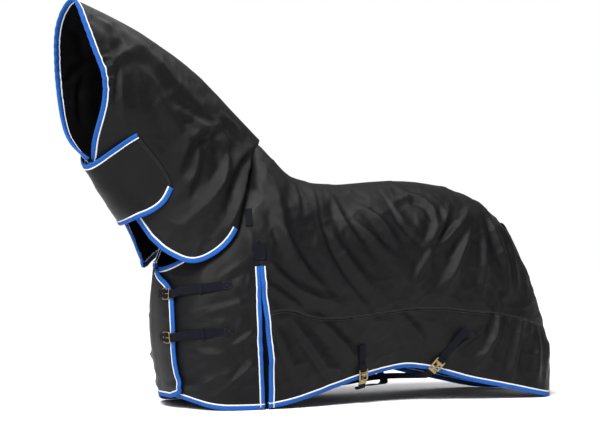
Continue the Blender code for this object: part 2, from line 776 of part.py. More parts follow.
FLAP_HINGE_GAP = 0.006
FLAP_HINGE_LIFT = 0.013        # the flap bows out along its hinge, whose line clears the bow
FLAP_COLUMNS = 8
FLAP_ROWS = (0.0, 0.085, 0.5, 0.915, 1.0)


def flap_grid(first, last):
    us = np.linspace(first, last, FLAP_COLUMNS)
    points = [[flap_at(u, p) for p in FLAP_ROWS] for u in us]
    normals = [[normal(flap_at, u, p, -1) for p in FLAP_ROWS] for u in us]
    return points, normals


def flap_part(name, first, last):
    """One half of the throat flap with its two tapes."""
    points, normals = flap_grid(first, last)
    skin = Skin()
    skin.add_grid(points, normals, True)
    make_outward(skin.solid(name, 0.0, -SHELL, "shell_fabric"))
    for label, edge, inside in (("top", 0, 1), ("low", -1, -2)):
        outer = [(column[edge], n[edge]) for column, n in zip(points, normals)]
        inner = [(column[inside], n[inside]) for column, n in zip(points, normals)]
        tape(name + "_binding_" + label, outer, inner, edge == 0, SHELL)
    return points, normals


HOOK_COLUMNS = (4, 5, 6)
LOOP_ROWS = range(2, 7)
LOOP_COLUMNS = (10, 11)
STRIP = 0.0012


def build_throat_flap():
    flap_part("throat_flap_fixed", 0.0, FLAP_HINGE - FLAP_HINGE_GAP)
    points, normals = flap_part("throat_flap_tab", FLAP_HINGE + FLAP_HINGE_GAP, 1.0)
    hook = Skin()
    rows = [[column[1] * 0.92 + column[2] * 0.08, column[2], column[3] * 0.92 + column[2] * 0.08]
            for column in (points[i] for i in HOOK_COLUMNS)]
    hook.add_grid(rows, [normals[i][1:4] for i in HOOK_COLUMNS], True)
    make_outward(hook.solid("hook_strip", -SHELL - TAPE_GAP, -SHELL - TAPE_GAP - STRIP, "hook_and_loop"))
    points, normals = neck_grid(1)
    loop = Skin()
    loop.add_grid([[points[i][j] for j in LOOP_COLUMNS] for i in LOOP_ROWS],
                  [[normals[i][j] for j in LOOP_COLUMNS] for i in LOOP_ROWS], False)
    make_outward(loop.solid("loop_strip", TAPE_GAP + STRIP, TAPE_GAP, "hook_and_loop"))


def build_tail_flap():
    rows = [0.0, 0.33, 0.66, 0.93, 1.0]
    columns = [0.0, 0.075, 0.28, 0.5, 0.72, 0.925, 1.0]
    points = [[tail_at(p, q) for p in rows] for q in columns]
    normals = [[normal(tail_at, p, q, -1) for p in rows] for q in columns]
    skin = Skin()
    skin.add_grid(points, normals, False)
    make_outward(skin.solid("tail_flap", 0.0, -SHELL, "shell_fabric"))
    low = [(points[i][-1], normals[i][-1]) for i in range(len(columns))]
    low_in = [(points[i][-2], normals[i][-2]) for i in range(len(columns))]
    tape("tail_flap_binding", low, low_in, False, SHELL)


# ---------------------------------------------------------------- chest fastenings
BUCKLE_LENGTH = 0.047          # bar to bar, centre lines
BUCKLE_HALF = 0.0235           # half height, centre line
BUCKLE_WIRE = 0.0026
BAR_HEIGHT = 0.0062            # bar's centre above the tab's underside
BUCKLES = (("upper", 0.500, 0.545), ("lower", 0.314, 0.345))
BUCKLE_W = 0.100               # pivot bar, metres round the near side from the middle
BILLET_SEWN_W = 0.440
KEEPER_W = 0.300


def rounded_rectangle(half_x, half_y, radius, steps, centre_x=0.0, centre_y=0.0):
    points = []
    for k, (sx, sy) in enumerate(((1, 1), (-1, 1), (-1, -1), (1, -1))):
        for i in range(steps + 1):
            angle = math.pi / 2 * (k + i / steps)
            points.append((centre_x + sx * (half_x - radius) + radius * math.cos(angle),
                           centre_y + sy * (half_y - radius) + radius * math.sin(angle)))
    return points


def wire_loop(name, points, radius, matrix, slot):
    curve = bpy.data.curves.new(name, "CURVE")
    curve.dimensions = "3D"
    curve.bevel_depth = radius
    curve.bevel_resolution = 2
    spline = curve.splines.new("POLY")
    spline.points.add(len(points) - 1)
    for point, co in zip(spline.points, points):
        point.co = (co[0], co[1], co[2], 1.0)
    spline.use_cyclic_u = True
    curve.materials.append(material(slot))
    obj = bpy.data.objects.new(name, curve)
    bpy.context.scene.collection.objects.link(obj)
    obj.matrix_world = matrix
    return obj


def thick_path(name, path, thickness, half_width, slot, matrix):
    """Webbing along an open path in the local XZ plane, with its width along local Y."""
    path = [np.array(p, dtype=float) for p in path]
    verts = []
    for i, p in enumerate(path):
        before = path[max(i - 1, 0)]
        after = path[min(i + 1, len(path) - 1)]
        d = unit(after - before)
        side = np.array((-d[1], d[0])) * thickness / 2
        a = p + side
        b = p - side
        verts += [(a[0], -half_width, a[1]), (a[0], half_width, a[1]),
                  (b[0], half_width, b[1]), (b[0], -half_width, b[1])]
    return make_outward(add_mesh(name, verts, ring_faces(len(path), 4), slot, matrix))


def cutter(name, low, high, matrix):
    x0, y0, z0 = low
    x1, y1, z1 = high
    verts = [(x0, y0, z0), (x1, y0, z0), (x1, y1, z0), (x0, y1, z0),
             (x0, y0, z1), (x1, y0, z1), (x1, y1, z1), (x0, y1, z1)]
    faces = [(0, 3, 2, 1), (4, 5, 6, 7), (0, 1, 5, 4), (1, 2, 6, 5), (2, 3, 7, 6), (3, 0, 4, 7)]
    obj = add_mesh(name, verts, faces, "webbing", matrix)
    obj.hide_render = True
    obj.display_type = "WIRE"
    return obj


def cut(obj, tool):
    mod = obj.modifiers.new("cut_" + tool.name, "BOOLEAN")
    mod.operation = "DIFFERENCE"
    mod.object = tool
    return obj


def loop_path(length, bar_z, inner_radius, thickness, fall):
    """A tab that comes along the surface, goes round a bar at x = 0 and is sewn back on itself."""
    lower = thickness / 2 + 0.0003
    radius = inner_radius + thickness / 2
    under_bar = bar_z - radius
    path = [(-length, lower - fall), (-length / 2, lower - fall / 4), (-0.022, lower + 0.0001),
            (-0.010, lower + 0.25 * (under_bar - lower)), (-0.003, under_bar)]
    for k in range(7):
        angle = -math.pi / 2 + math.pi * k / 6
        path.append((radius * math.cos(angle), bar_z + radius * math.sin(angle)))
    path += [(-0.006, bar_z + radius - 0.0006), (-0.016, lower + thickness + 0.0022),
             (-0.030, lower + thickness + 0.0010)]
    return path


def build_buckle(label, z_buckle):
    w = -run_u(BUCKLE_W)
    base = frame_on_body(-w, z_buckle, -1, OVERLAP_LIFT + 0.0032)
    half = BUCKLE_LENGTH / 2
    outline = rounded_rectangle(half, BUCKLE_HALF, 0.009, 3, half)
    bar = [(x, y, 0.0) for x, y in outline]
    at_bar = base @ Matrix.Translation((0, 0, BAR_HEIGHT))
    wire_loop("buckle_frame_" + label, bar, BUCKLE_WIRE, at_bar, "brass")
    tab = thick_path("buckle_tab_" + label, loop_path(0.042, BAR_HEIGHT, BUCKLE_WIRE + 0.0007, 0.0020, 0.0040),
                     0.0020, 0.0165, "webbing", base)
    cut(tab, cutter("prong_slot_" + label, (-0.0095, -0.0042, -0.002), (0.0095, 0.0042, 0.020), base))
    build_prong("buckle_prong_" + label, at_bar)
    return base


def build_prong(name, at_bar):
    """Eye round the bar and a shank that rests on the far side of the frame."""
    inner = BUCKLE_WIRE + 0.0004
    outer = inner + 0.0019
    half_width = 0.0028
    tip_x = BUCKLE_LENGTH + 0.004
    rest_z = BUCKLE_WIRE + 0.0004
    shank = 0.0022
    count = 12
    verts = []
    for k in range(count):
        angle = 2 * math.pi * k / count
        for radius in (inner, outer):
            for y in (-half_width, half_width):
                verts.append((radius * math.cos(angle), y, radius * math.sin(angle)))
    faces = []
    for k in range(count):
        a = 4 * k
        b = 4 * ((k + 1) % count)
        faces += [(a, b, b + 1, a + 1), (a + 2, a + 3, b + 3, b + 2), (a, a + 2, b + 2, b),
                  (a + 1, b + 1, b + 3, a + 3)]
    eye = make_outward(add_mesh(name, verts, faces, "brass", at_bar))
    rows = ((outer - 0.0010, 0.0), (0.020, rest_z * 0.45), (tip_x - 0.004, rest_z), (tip_x, rest_z))
    body = []
    for x, z in rows:
        for y in (-half_width * 0.8, half_width * 0.8):
            body += [(x, y, z), (x, y, z + shank)] if y < 0 else [(x, y, z + shank), (x, y, z)]
    tool = make_outward(add_mesh(name + "_shank", body, ring_faces(len(rows), 4), "brass", at_bar))
    mod = eye.modifiers.new("shank", "BOOLEAN")
    mod.operation = "UNION"
    mod.object = tool
    tool.hide_render = True
    tool.display_type = "WIRE"
    return eye


def build_billet(label, base, z_buckle, z_sewn):
    """Strap from its box-stitched end on the near panel, through the keeper, into the buckle."""
    rows = []
    spots = ((BILLET_SEWN_W, 0.0022), (0.405, 0.0022), (0.370, 0.0030), (0.335, 0.0050), (0.300, 0.0054),
             (0.265, 0.0060), (0.232, 0.0095), (0.202, 0.0140))
    for metres, lift in spots:
        share = (BILLET_SEWN_W - metres) / (BILLET_SEWN_W - BUCKLE_W)
        z = z_sewn + (z_buckle - z_sewn) * share
        w = run_u(metres)
        centre, n = on_body(w, z, -1, lift)
        up = on_body(w, z + WEBBING_WIDTH / 2, -1, lift)[0]
        down = on_body(w, z - WEBBING_WIDTH / 2, -1, lift)[0]
        rows.append((up, down, n))
    local = ((0.062, -0.0006), (0.052, 0.0), (0.0425, 0.0003), (0.034, 0.0080), (0.024, 0.0132),
             (0.000, 0.0142), (-0.020, 0.0135), (-0.034, 0.0115))
    matrix = np.array(base)
    for k, (x, z) in enumerate(local):
        ahead = local[min(k + 1, len(local) - 1)]
        behind = local[max(k - 1, 0)]
        d = unit(np.array((ahead[0] - behind[0], ahead[1] - behind[1])))
        n_local = np.array((d[1], 0.0, -d[0], 0.0))
        n = (matrix @ n_local)[:3]
        up = (matrix @ np.array((x, 0.0188, z, 1.0)))[:3]
        down = (matrix @ np.array((x, -0.0188, z, 1.0)))[:3]
        rows.append((up, down, n))
    strap = ribbon("billet_" + label, rows, WEBBING, "webbing")
    hole = cutter("billet_hole_" + label, (-0.006, -0.0040, -0.006), (0.047, 0.0040, 0.030), base)
    return cut(strap, hole)


def rect_ring(name, half_y, low_z, high_z, wall, half_x, slot, matrix):
    outer = ((-half_y - wall, low_z - wall), (half_y + wall, low_z - wall),
             (half_y + wall, high_z + wall), (-half_y - wall, high_z + wall))
    inner = ((-half_y, low_z), (half_y, low_z), (half_y, high_z), (-half_y, high_z))
    verts = [(x, y, z) for x in (-half_x, half_x) for ring in (outer, inner) for y, z in ring]
    faces = []
    for k in range(4):
        m = (k + 1) % 4
        faces += [(k, m, 8 + m, 8 + k), (4 + k, 12 + k, 12 + m, 4 + m),
                  (k, 4 + k, 4 + m, m), (8 + k, 8 + m, 12 + m, 12 + k)]
    return make_outward(add_mesh(name, verts, faces, slot, matrix))


def build_chest():
    for label, z_buckle, z_sewn in BUCKLES:
        base = build_buckle(label, z_buckle)
        build_billet(label, base, z_buckle, z_sewn)
        share = (BILLET_SEWN_W - KEEPER_W) / (BILLET_SEWN_W - BUCKLE_W)
        z_keeper = z_sewn + (z_buckle - z_sewn) * share
        tilt = math.atan2(z_sewn - z_buckle, BILLET_SEWN_W - BUCKLE_W)
        matrix = frame_on_body(run_u(KEEPER_W), z_keeper, -1, 0.0054, tilt)
        rect_ring("keeper_" + label, WEBBING_WIDTH / 2 + 0.0020, -0.0012, WEBBING + 0.0014, 0.0014,
                  0.007, "webbing", matrix)


# ---------------------------------------------------------------- surcingles
# name, distance behind the chest and height of the tab's top, of the plate's bar, and the far anchor
SURCINGLES = (
    ("front", (0.885, 0.268), (0.897, 0.158), (1.290, 0.300), 0.060),
    ("rear", (1.405, 0.330), (1.300, 0.190), (0.895, 0.290), 0.092),
)
PLATE_THICKNESS = 0.0025
PLATE_BAR_Z = 0.0128


def flat_plate(name, outline, low_z, high_z, slot, matrix):
    n = len(outline)
    verts = [(x, y, low_z) for x, y in outline] + [(x, y, high_z) for x, y in outline]
    faces = [tuple(reversed(range(n))), tuple(range(n, 2 * n))]
    faces += [(k, (k + 1) % n, n + (k + 1) % n, n + k) for k in range(n)]
    return make_outward(add_mesh(name, verts, faces, slot, matrix))


def build_surcingle(label, top, bar, anchor, sag_z):
    bar_w = w_for_x(bar[0], bar[1])
    top_w = w_for_x(top[0], top[1])
    bar_point = on_body(bar_w, bar[1])[0]
    top_point = on_body(top_w, top[1])[0]
    level = frame_on_body(bar_w, bar[1], -1, 0.0030)
    down = level.inverted() @ Vector(top_point)
    tilt = math.atan2(-down.x, down.y)
    base = frame_on_body(bar_w, bar[1], -1, 0.0030, tilt)
    # tab: its local X runs down the strap, so it is turned a quarter from the plate's frame
    quarter = base @ Matrix.Rotation(-math.pi / 2, 4, "Z")
    length = float(np.linalg.norm(np.array(top_point) - np.array(bar_point)))
    path = loop_path(length, PLATE_BAR_Z, 0.0024, 0.0022, -0.0015)
    tab = thick_path("surcingle_tab_" + label, path, 0.0022, 0.0175, "webbing", quarter)
    at_bar = base @ Matrix.Translation((0, 0, PLATE_BAR_Z))
    half = PLATE_THICKNESS / 2
    outline = rounded_rectangle(0.0245, 0.0270, 0.005, 2, 0.0, -0.0245)
    plate = flat_plate("t_lock_plate_" + label, outline, -half, half, "brass", at_bar)
    cut(plate, cutter("plate_top_slot_" + label, (-0.0192, -0.0105, -0.01), (0.0192, -0.0018, 0.01), at_bar))
    cut(plate, cutter("plate_hook_slot_" + label, (-0.0165, -0.0450, -0.01), (0.0165, -0.0235, 0.01), at_bar))
    build_hook_and_strap(label, at_bar, anchor, sag_z)
    return tab


def build_hook_and_strap(label, at_bar, anchor, sag_z):
    front = 0.0052
    back = -0.0060
    rows = ((-0.0150, front, 0.0140), (-0.0225, front, 0.0140), (-0.0230, front, 0.0055),
            (-0.0290, front, 0.0055), (-0.0385, back, 0.0055), (-0.0560, back, 0.0055),
            (-0.0565, back, 0.0215), (-0.0680, back, 0.0215))
    thickness = 0.0024
    verts = []
    for k, (y, z, half_x) in enumerate(rows):
        before = rows[max(k - 1, 0)]
        after = rows[min(k + 1, len(rows) - 1)]
        d = unit(np.array((after[0] - before[0], after[1] - before[1])))
        side = np.array((-d[1], d[0])) * thickness / 2
        verts += [(-half_x, y + side[0], z + side[1]), (half_x, y + side[0], z + side[1]),
                  (half_x, y - side[0], z - side[1]), (-half_x, y - side[0], z - side[1])]
    make_outward(add_mesh("t_hook_" + label, verts, ring_faces(len(rows), 4), "brass", at_bar))
    matrix = np.array(at_bar)

    def local(y, z):
        return (matrix @ np.array((0.0, y, z, 1.0)))[:3]

    hook_back = back - thickness / 2 - 0.0004 - WEBBING / 2
    anchor_w = w_for_x(anchor[0], anchor[1], 1)
    hem_x = anchor[0]
    off_low = on_body(w_for_x(hem_x, 0.20, 1), 0.20, 1, 0.0115)[0]
    off_top = on_body(anchor_w, anchor[1], 1, 0.0085)[0]
    hem = body_at(w_for_x(hem_x, 0.20, 1), 1.0, 1)
    start = local(-0.0585, hook_back)
    leaves = local(-0.0760, hook_back)
    under_near = leaves + np.array((0.02 * np.sign(off_top[0] - leaves[0]), 0.060, -0.018))
    mid = 0.5 * (leaves + hem)
    mid[2] = sag_z
    beside_hem = hem + np.array((0.0, 0.022, -0.004))
    under_off = hem + np.array((0.0, -0.030, -0.046))
    route = [start, leaves, under_near, mid, under_off, beside_hem, off_low, off_top]
    route = np.array(route)
    chord = np.concatenate([[0.0], np.cumsum(np.linalg.norm(np.diff(route, axis=0), axis=1))])
    samples = [spline_weights(chord, t) @ route for t in np.linspace(0.0, chord[-1], 34)]
    across_near = matrix[:3, 0]
    across_off = np.array((1.0, 0.0, 0.0))
    rows = []
    for k, p in enumerate(samples):
        share = smooth(k / (len(samples) - 1) * 1.4 - 0.2)
        d = unit(samples[min(k + 1, len(samples) - 1)] - samples[max(k - 1, 0)])
        wide = across_near * (1.0 - share) + across_off * share
        wide = unit(wide - d * np.dot(wide, d)) * WEBBING_WIDTH / 2
        n = unit(np.cross(wide, d))
        rows.append((p - wide, p + wide, n))
    ribbon("surcingle_strap_" + label, rows, WEBBING, "webbing", -WEBBING / 2)


def build_neck_straps():
    """Short webbing tabs that hold the neck cover to the shoulders."""
    for side, label in SIDES.items():
        rows = []
        w = SLIT_U - run_u(0.052)
        for metres in (-0.023, 0.0, 0.023):
            low, n = on_body(w + run_u(metres), 0.795, side, 0.0024)
            high = on_body(w + run_u(metres), 0.872, side, 0.0024)[0]
            rows.append((low, high, n))
        ribbon("neck_strap_" + label, rows, WEBBING, "webbing")


# ---------------------------------------------------------------- hinges of the two flaps
TAIL_HINGE = (1.812, 0.0, 0.822)


def hang(pivot_name, place, pieces):
    """Put an empty on a hinge's line and parent the moving pieces to it."""
    pivot = bpy.data.objects.new(pivot_name, None)
    bpy.context.scene.collection.objects.link(pivot)
    pivot.location = place
    for piece in pieces:
        obj = bpy.data.objects[piece]
        obj.parent = pivot
        obj.matrix_parent_inverse = Matrix.Translation(-Vector(place))


def hang_flaps():
    outward = normal(flap_at, FLAP_HINGE, 0.5, -1)
    throat = 0.5 * (flap_at(FLAP_HINGE, 0.0) + flap_at(FLAP_HINGE, 1.0)) + outward * FLAP_HINGE_LIFT
    hang("throat_flap_hinge", throat,
         ("throat_flap_tab", "throat_flap_tab_binding_top", "throat_flap_tab_binding_low", "hook_strip"))
    hang("tail_flap_hinge", np.array(TAIL_HINGE) + TO_ORIGIN, ("tail_flap", "tail_flap_binding"))


def main():
    clear_scene()
    grids = body_grids()
    build_body_fabric(grids)
    build_body_tapes(grids)
    build_gussets()
    build_slit_patches()
    build_neck()
    build_neck_straps()
    build_throat_flap()
    build_tail_flap()
    build_chest()
    for spec in SURCINGLES:
        build_surcingle(*spec)
    hang_flaps()


main()
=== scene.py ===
"""Looks for the turnout rug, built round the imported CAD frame.

The body, neck, throat flap and tail flap repeat the CAD surfaces, with the folds of real cloth added
along their normals.  Every sheet, tape, strap and stitch is then laid on those folded surfaces.
Metres, +Z up; the rug faces -X and its near side is -Y.
"""

import math

import bpy
import numpy as np
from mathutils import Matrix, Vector


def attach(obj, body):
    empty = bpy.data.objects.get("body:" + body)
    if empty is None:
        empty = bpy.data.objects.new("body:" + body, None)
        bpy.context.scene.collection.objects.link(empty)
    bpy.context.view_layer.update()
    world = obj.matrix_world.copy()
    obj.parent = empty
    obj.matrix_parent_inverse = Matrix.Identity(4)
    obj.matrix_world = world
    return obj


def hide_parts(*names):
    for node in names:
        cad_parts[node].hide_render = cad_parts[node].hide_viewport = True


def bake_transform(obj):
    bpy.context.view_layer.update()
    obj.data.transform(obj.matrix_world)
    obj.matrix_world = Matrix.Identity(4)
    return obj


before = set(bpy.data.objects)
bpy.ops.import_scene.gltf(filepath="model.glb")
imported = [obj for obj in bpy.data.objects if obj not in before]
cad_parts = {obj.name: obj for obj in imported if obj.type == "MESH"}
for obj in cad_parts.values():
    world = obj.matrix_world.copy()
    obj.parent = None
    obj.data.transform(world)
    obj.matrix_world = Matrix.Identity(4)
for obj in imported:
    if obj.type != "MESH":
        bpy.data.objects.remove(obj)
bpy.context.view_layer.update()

# ---------------------------------------------------------------- camera, floor and light
BODY_CENTRE_X = 0.7592
CAMERA_PLACE = (-3.0375 - BODY_CENTRE_X, -7.5933, 0.735)
CAMERA_YAW = math.radians(26.39)
CAMERA_PITCH = math.radians(0.90)
CAMERA_LENS = 111.0
SOFTBOX_FROM = (-0.50, -0.55, 0.95)
SOFTBOX_POWER = 4.6
SOFTBOX_SPREAD = math.radians(22.0)
AMBIENT = 0.26
FLOOR_HALF = 30.0


def build_camera():
    data = bpy.data.cameras.new("camera")
    data.lens = CAMERA_LENS
    data.sensor_width = 36.0
    data.sensor_fit = "HORIZONTAL"
    camera = bpy.data.objects.new("camera", data)
    camera.location = CAMERA_PLACE
    camera.rotation_euler = (math.pi / 2 + CAMERA_PITCH, 0.0, -CAMERA_YAW)
    bpy.context.scene.collection.objects.link(camera)
    bpy.context.scene.camera = camera


def area_light(name, place, target, size, power):
    data = bpy.data.lights.new(name, "AREA")
    data.shape = "RECTANGLE"
    data.size = size[0]
    data.size_y = size[1]
    data.energy = power
    light = bpy.data.objects.new(name, data)
    light.location = place
    aim = Vector(target) - Vector(place)
    light.rotation_euler = aim.to_track_quat("-Z", "Y").to_euler()
    bpy.context.scene.collection.objects.link(light)


def build_stage():
    """Floor, world and lights.  The world is white to the camera and dimmer as a light."""
    bpy.context.scene.view_settings.view_transform = "Standard"
    mesh = bpy.data.meshes.new("floor")
    corners = [(x * FLOOR_HALF, y * FLOOR_HALF, 0) for x, y in ((-1, -1), (1, -1), (1, 1), (-1, 1))]
    mesh.from_pydata(corners, [], [(0, 1, 2, 3)])
    floor = bpy.data.objects.new("floor", mesh)
    bpy.context.scene.collection.objects.link(floor)
    paper = bpy.data.materials.new("floor_paper")
    paper.use_nodes = True
    shader = paper.node_tree.nodes["Principled BSDF"]
    shader.inputs["Base Color"].default_value = (0.93, 0.93, 0.935, 1.0)
    shader.inputs["Roughness"].default_value = 0.9
    shader.inputs["Specular IOR Level"].default_value = 0.1
    mesh.materials.append(paper)
    world = bpy.data.worlds.new("studio")
    world.use_nodes = True
    bpy.context.scene.world = world
    background = world.node_tree.nodes["Background"]
    background.inputs["Color"].default_value = (1.0, 1.0, 1.0, 1.0)
    rays = world.node_tree.nodes.new("ShaderNodeLightPath")
    level = world.node_tree.nodes.new("ShaderNodeMapRange")
    level.inputs["To Min"].default_value = AMBIENT
    world.node_tree.links.new(rays.outputs["Is Camera Ray"], level.inputs["Value"])
    world.node_tree.links.new(level.outputs[0], background.inputs["Strength"])
    sun = bpy.data.lights.new("softbox", "SUN")
    sun.energy = SOFTBOX_POWER
    sun.angle = SOFTBOX_SPREAD
    light = bpy.data.objects.new("softbox", sun)
    light.rotation_euler = (-Vector(SOFTBOX_FROM)).to_track_quat("-Z", "Y").to_euler()
    bpy.context.scene.collection.objects.link(light)
    area_light("left_strip", (-3.4, -2.6, 2.3), (-0.2, 0.0, 0.8), (0.8, 2.0), 55.0)
    area_light("top_strip", (0.4, 0.3, 3.4), (0.1, 0.0, 0.8), (2.6, 0.7), 45.0)


# ---------------------------------------------------------------- the CAD surfaces, repeated
OVERLAP_LIFT = 0.0160
WEBBING = 0.0025
WEBBING_WIDTH = 0.038
NECK_TURN = math.radians(10.0)
NECK_PIVOT_X = 0.30
NECK_TURN_LENGTH = 0.45
SHELL = 0.0040
LINING_TOP = 0.0044
LINING_LOW = 0.0069

BODY_STATIONS = (
    ((0.035, 0, 0.615), (0.030, 0, 0.525), (0.028, 0, 0.430), (0.030, 0, 0.335),
     (0.040, 0, 0.240), (0.055, 0, 0.145), (0.075, 0, 0.050)),
    ((0.075, 0.130, 0.645), (0.065, 0.160, 0.545), (0.060, 0.175, 0.445), (0.062, 0.180, 0.340),
     (0.072, 0.180, 0.240), (0.085, 0.175, 0.140), (0.105, 0.165, 0.038)),
    ((0.160, 0.215, 0.735), (0.145, 0.262, 0.615), (0.138, 0.285, 0.495), (0.140, 0.293, 0.375),
     (0.148, 0.294, 0.250), (0.160, 0.292, 0.130), (0.172, 0.288, 0.010)),
    ((0.290, 0.210, 0.900), (0.265, 0.290, 0.765), (0.250, 0.332, 0.610), (0.250, 0.345, 0.460),
     (0.255, 0.348, 0.310), (0.262, 0.343, 0.155), (0.275, 0.335, 0.004)),
    ((0.410, 0.115, 1.060), (0.385, 0.238, 0.940), (0.368, 0.322, 0.775), (0.363, 0.355, 0.590),
     (0.368, 0.362, 0.400), (0.380, 0.352, 0.200), (0.395, 0.338, 0.006)),
    ((0.500, 0, 1.172), (0.490, 0.180, 1.055), (0.487, 0.305, 0.875), (0.495, 0.360, 0.670),
     (0.505, 0.365, 0.460), (0.525, 0.355, 0.250), (0.550, 0.340, 0.030)),
    ((0.600, 0, 1.068), (0.590, 0.185, 0.990), (0.588, 0.305, 0.835), (0.592, 0.355, 0.650),
     (0.600, 0.360, 0.450), (0.620, 0.345, 0.255), (0.650, 0.325, 0.054)),
    ((0.720, 0, 1.007), (0.712, 0.180, 0.955), (0.705, 0.300, 0.815), (0.703, 0.350, 0.640),
     (0.710, 0.350, 0.450), (0.725, 0.330, 0.260), (0.750, 0.303, 0.080)),
    ((0.930, 0, 0.992), (0.930, 0.180, 0.945), (0.930, 0.305, 0.815), (0.932, 0.350, 0.650),
     (0.940, 0.345, 0.470), (0.955, 0.310, 0.295), (0.975, 0.262, 0.132)),
    ((1.200, 0, 1.012), (1.200, 0.185, 0.962), (1.195, 0.310, 0.830), (1.195, 0.355, 0.660),
     (1.195, 0.350, 0.480), (1.200, 0.315, 0.310), (1.205, 0.262, 0.152)),
    ((1.440, 0, 0.992), (1.440, 0.175, 0.945), (1.435, 0.300, 0.820), (1.430, 0.350, 0.650),
     (1.425, 0.355, 0.460), (1.420, 0.335, 0.280), (1.420, 0.305, 0.097)),
    ((1.620, 0, 0.935), (1.635, 0.145, 0.885), (1.645, 0.255, 0.775), (1.655, 0.315, 0.610),
     (1.660, 0.340, 0.425), (1.655, 0.345, 0.235), (1.645, 0.335, 0.050)),
    ((1.735, 0, 0.870), (1.762, 0.095, 0.805), (1.790, 0.175, 0.690), (1.825, 0.235, 0.545),
     (1.860, 0.275, 0.370), (1.885, 0.300, 0.190), (1.870, 0.318, 0.006)),
    ((1.785, 0, 0.825), (1.812, 0.055, 0.765), (1.850, 0.100, 0.650), (1.890, 0.135, 0.510),
     (1.930, 0.155, 0.350), (1.955, 0.175, 0.175), (1.950, 0.190, 0.006)),
    ((1.825, 0, 0.770), (1.855, 0, 0.650), (1.890, 0, 0.520), (1.925, 0, 0.385),
     (1.950, 0, 0.255), (1.970, 0, 0.130), (1.975, 0, 0.006)),
)
RIDGE_STATIONS = range(5, 15)
SLIT_STATION = 4
NECK_STATIONS = (
    ((-0.430, 0, 1.762), (-0.440, 0.105, 1.675), (-0.420, 0.165, 1.543), (-0.392, 0.202, 1.415),
     (-0.385, 0.178, 1.285), (-0.382, 0.105, 1.160), (-0.337, 0.014, 1.083)),
    ((-0.250, 0, 1.700), (-0.270, 0.120, 1.620), (-0.275, 0.175, 1.500), (-0.262, 0.202, 1.370),
     (-0.258, 0.190, 1.240), (-0.275, 0.125, 1.120), (-0.300, 0.020, 1.015)),
    ((-0.030, 0, 1.608), (-0.060, 0.130, 1.530), (-0.085, 0.190, 1.410), (-0.100, 0.215, 1.280),
     (-0.120, 0.200, 1.150), (-0.170, 0.130, 1.040), (-0.250, 0.028, 0.950)),
    ((0.180, 0, 1.492), (0.140, 0.140, 1.410), (0.098, 0.205, 1.290), (0.058, 0.238, 1.165),
     (0.015, 0.222, 1.040), (-0.065, 0.150, 0.940), (-0.195, 0.040, 0.888)),
    ((0.365, 0, 1.333), (0.300, 0.140, 1.240), (0.232, 0.222, 1.110), (0.170, 0.270, 0.975),
     (0.095, 0.255, 0.860), (-0.010, 0.185, 0.805), (-0.140, 0.060, 0.820)),
    ((0.520, 0, 1.190), (0.428, 0.122, 1.095), (0.328, 0.248, 0.935), (0.270, 0.318, 0.785),
     (0.175, 0.300, 0.682), (0.045, 0.218, 0.640), (-0.078, 0.092, 0.722)),
)
NECK_OFF_CHANGES = {
    (5, 6): (-0.046, 0.040, 0.635),
    (5, 5): (0.048, 0.190, 0.615),
    (4, 6): (-0.125, 0.040, 0.780),
}
TAIL_FLAP_ROWS = (
    ((1.803, -0.170, 0.700), (1.800, -0.085, 0.795), (1.815, 0, 0.822), (1.800, 0.085, 0.795),
     (1.803, 0.170, 0.700)),
    ((1.866, -0.175, 0.600), (1.872, -0.088, 0.660), (1.876, 0, 0.680), (1.872, 0.088, 0.660),
     (1.866, 0.175, 0.600)),
    ((1.922, -0.180, 0.490), (1.922, -0.090, 0.520), (1.918, 0, 0.535), (1.922, 0.090, 0.520),
     (1.922, 0.180, 0.490)),
    ((1.965, -0.182, 0.370), (1.962, -0.091, 0.385), (1.955, 0, 0.395), (1.962, 0.091, 0.385),
     (1.965, 0.182, 0.370)),
)


def paired(a, b):
    """Both as arrays of numbers, of one shape."""
    return np.broadcast_arrays(np.asarray(a, dtype=float), np.asarray(b, dtype=float))


def distances(points):
    """Distance along a line of points, from 0 at the first."""
    return np.concatenate([[0.0], np.cumsum(np.linalg.norm(np.diff(points, axis=0), axis=1))])


def spline_weights(knots, t):
    """Weights of a natural cubic spline's data at each t, one row a t."""
    t = np.asarray(t, dtype=float).ravel()
    n = len(knots)
    h = np.diff(knots)
    lhs = np.eye(n)
    rhs = np.zeros((n, n))
    for i in range(1, n - 1):
        lhs[i, i - 1:i + 2] = (h[i - 1], 2.0 * (h[i - 1] + h[i]), h[i])
        rhs[i, i - 1:i + 2] = (6.0 / h[i - 1], -6.0 / h[i - 1] - 6.0 / h[i], 6.0 / h[i])
    curvature = np.linalg.solve(lhs, rhs)
    k = np.clip(np.searchsorted(knots, t) - 1, 0, n - 2)
    b = (t - knots[k]) / h[k]
    a = 1.0 - b
    weights = (a ** 3 - a)[:, None] * curvature[k] + (b ** 3 - b)[:, None] * curvature[k + 1]
    weights *= (h[k] ** 2 / 6.0)[:, None]
    rows = np.arange(len(t))
    weights[rows, k] += a
    weights[rows, k + 1] += b
    return weights


def spline_value(pairs, t):
    knots = np.array([p[0] for p in pairs])
    shape = np.shape(t)
    return (spline_weights(knots, t) @ np.array([p[1] for p in pairs])).reshape(shape)


class Net:
    """Smooth surface through a net of points."""

    def __init__(self, points, u_knots, v_knots):
        self.points = np.array(points, dtype=float)
        self.u_knots = np.array(u_knots, dtype=float)
        self.v_knots = np.array(v_knots, dtype=float)

    def at(self, u, v):
        u, v = paired(u, v)
        across = spline_weights(self.u_knots, u) @ self.points.reshape(len(self.u_knots), -1)
        across = across.reshape(-1, len(self.v_knots), 3)
        down = spline_weights(self.v_knots, v)
        return np.einsum("nbk,nb->nk", across, down).reshape(u.shape + (3,))


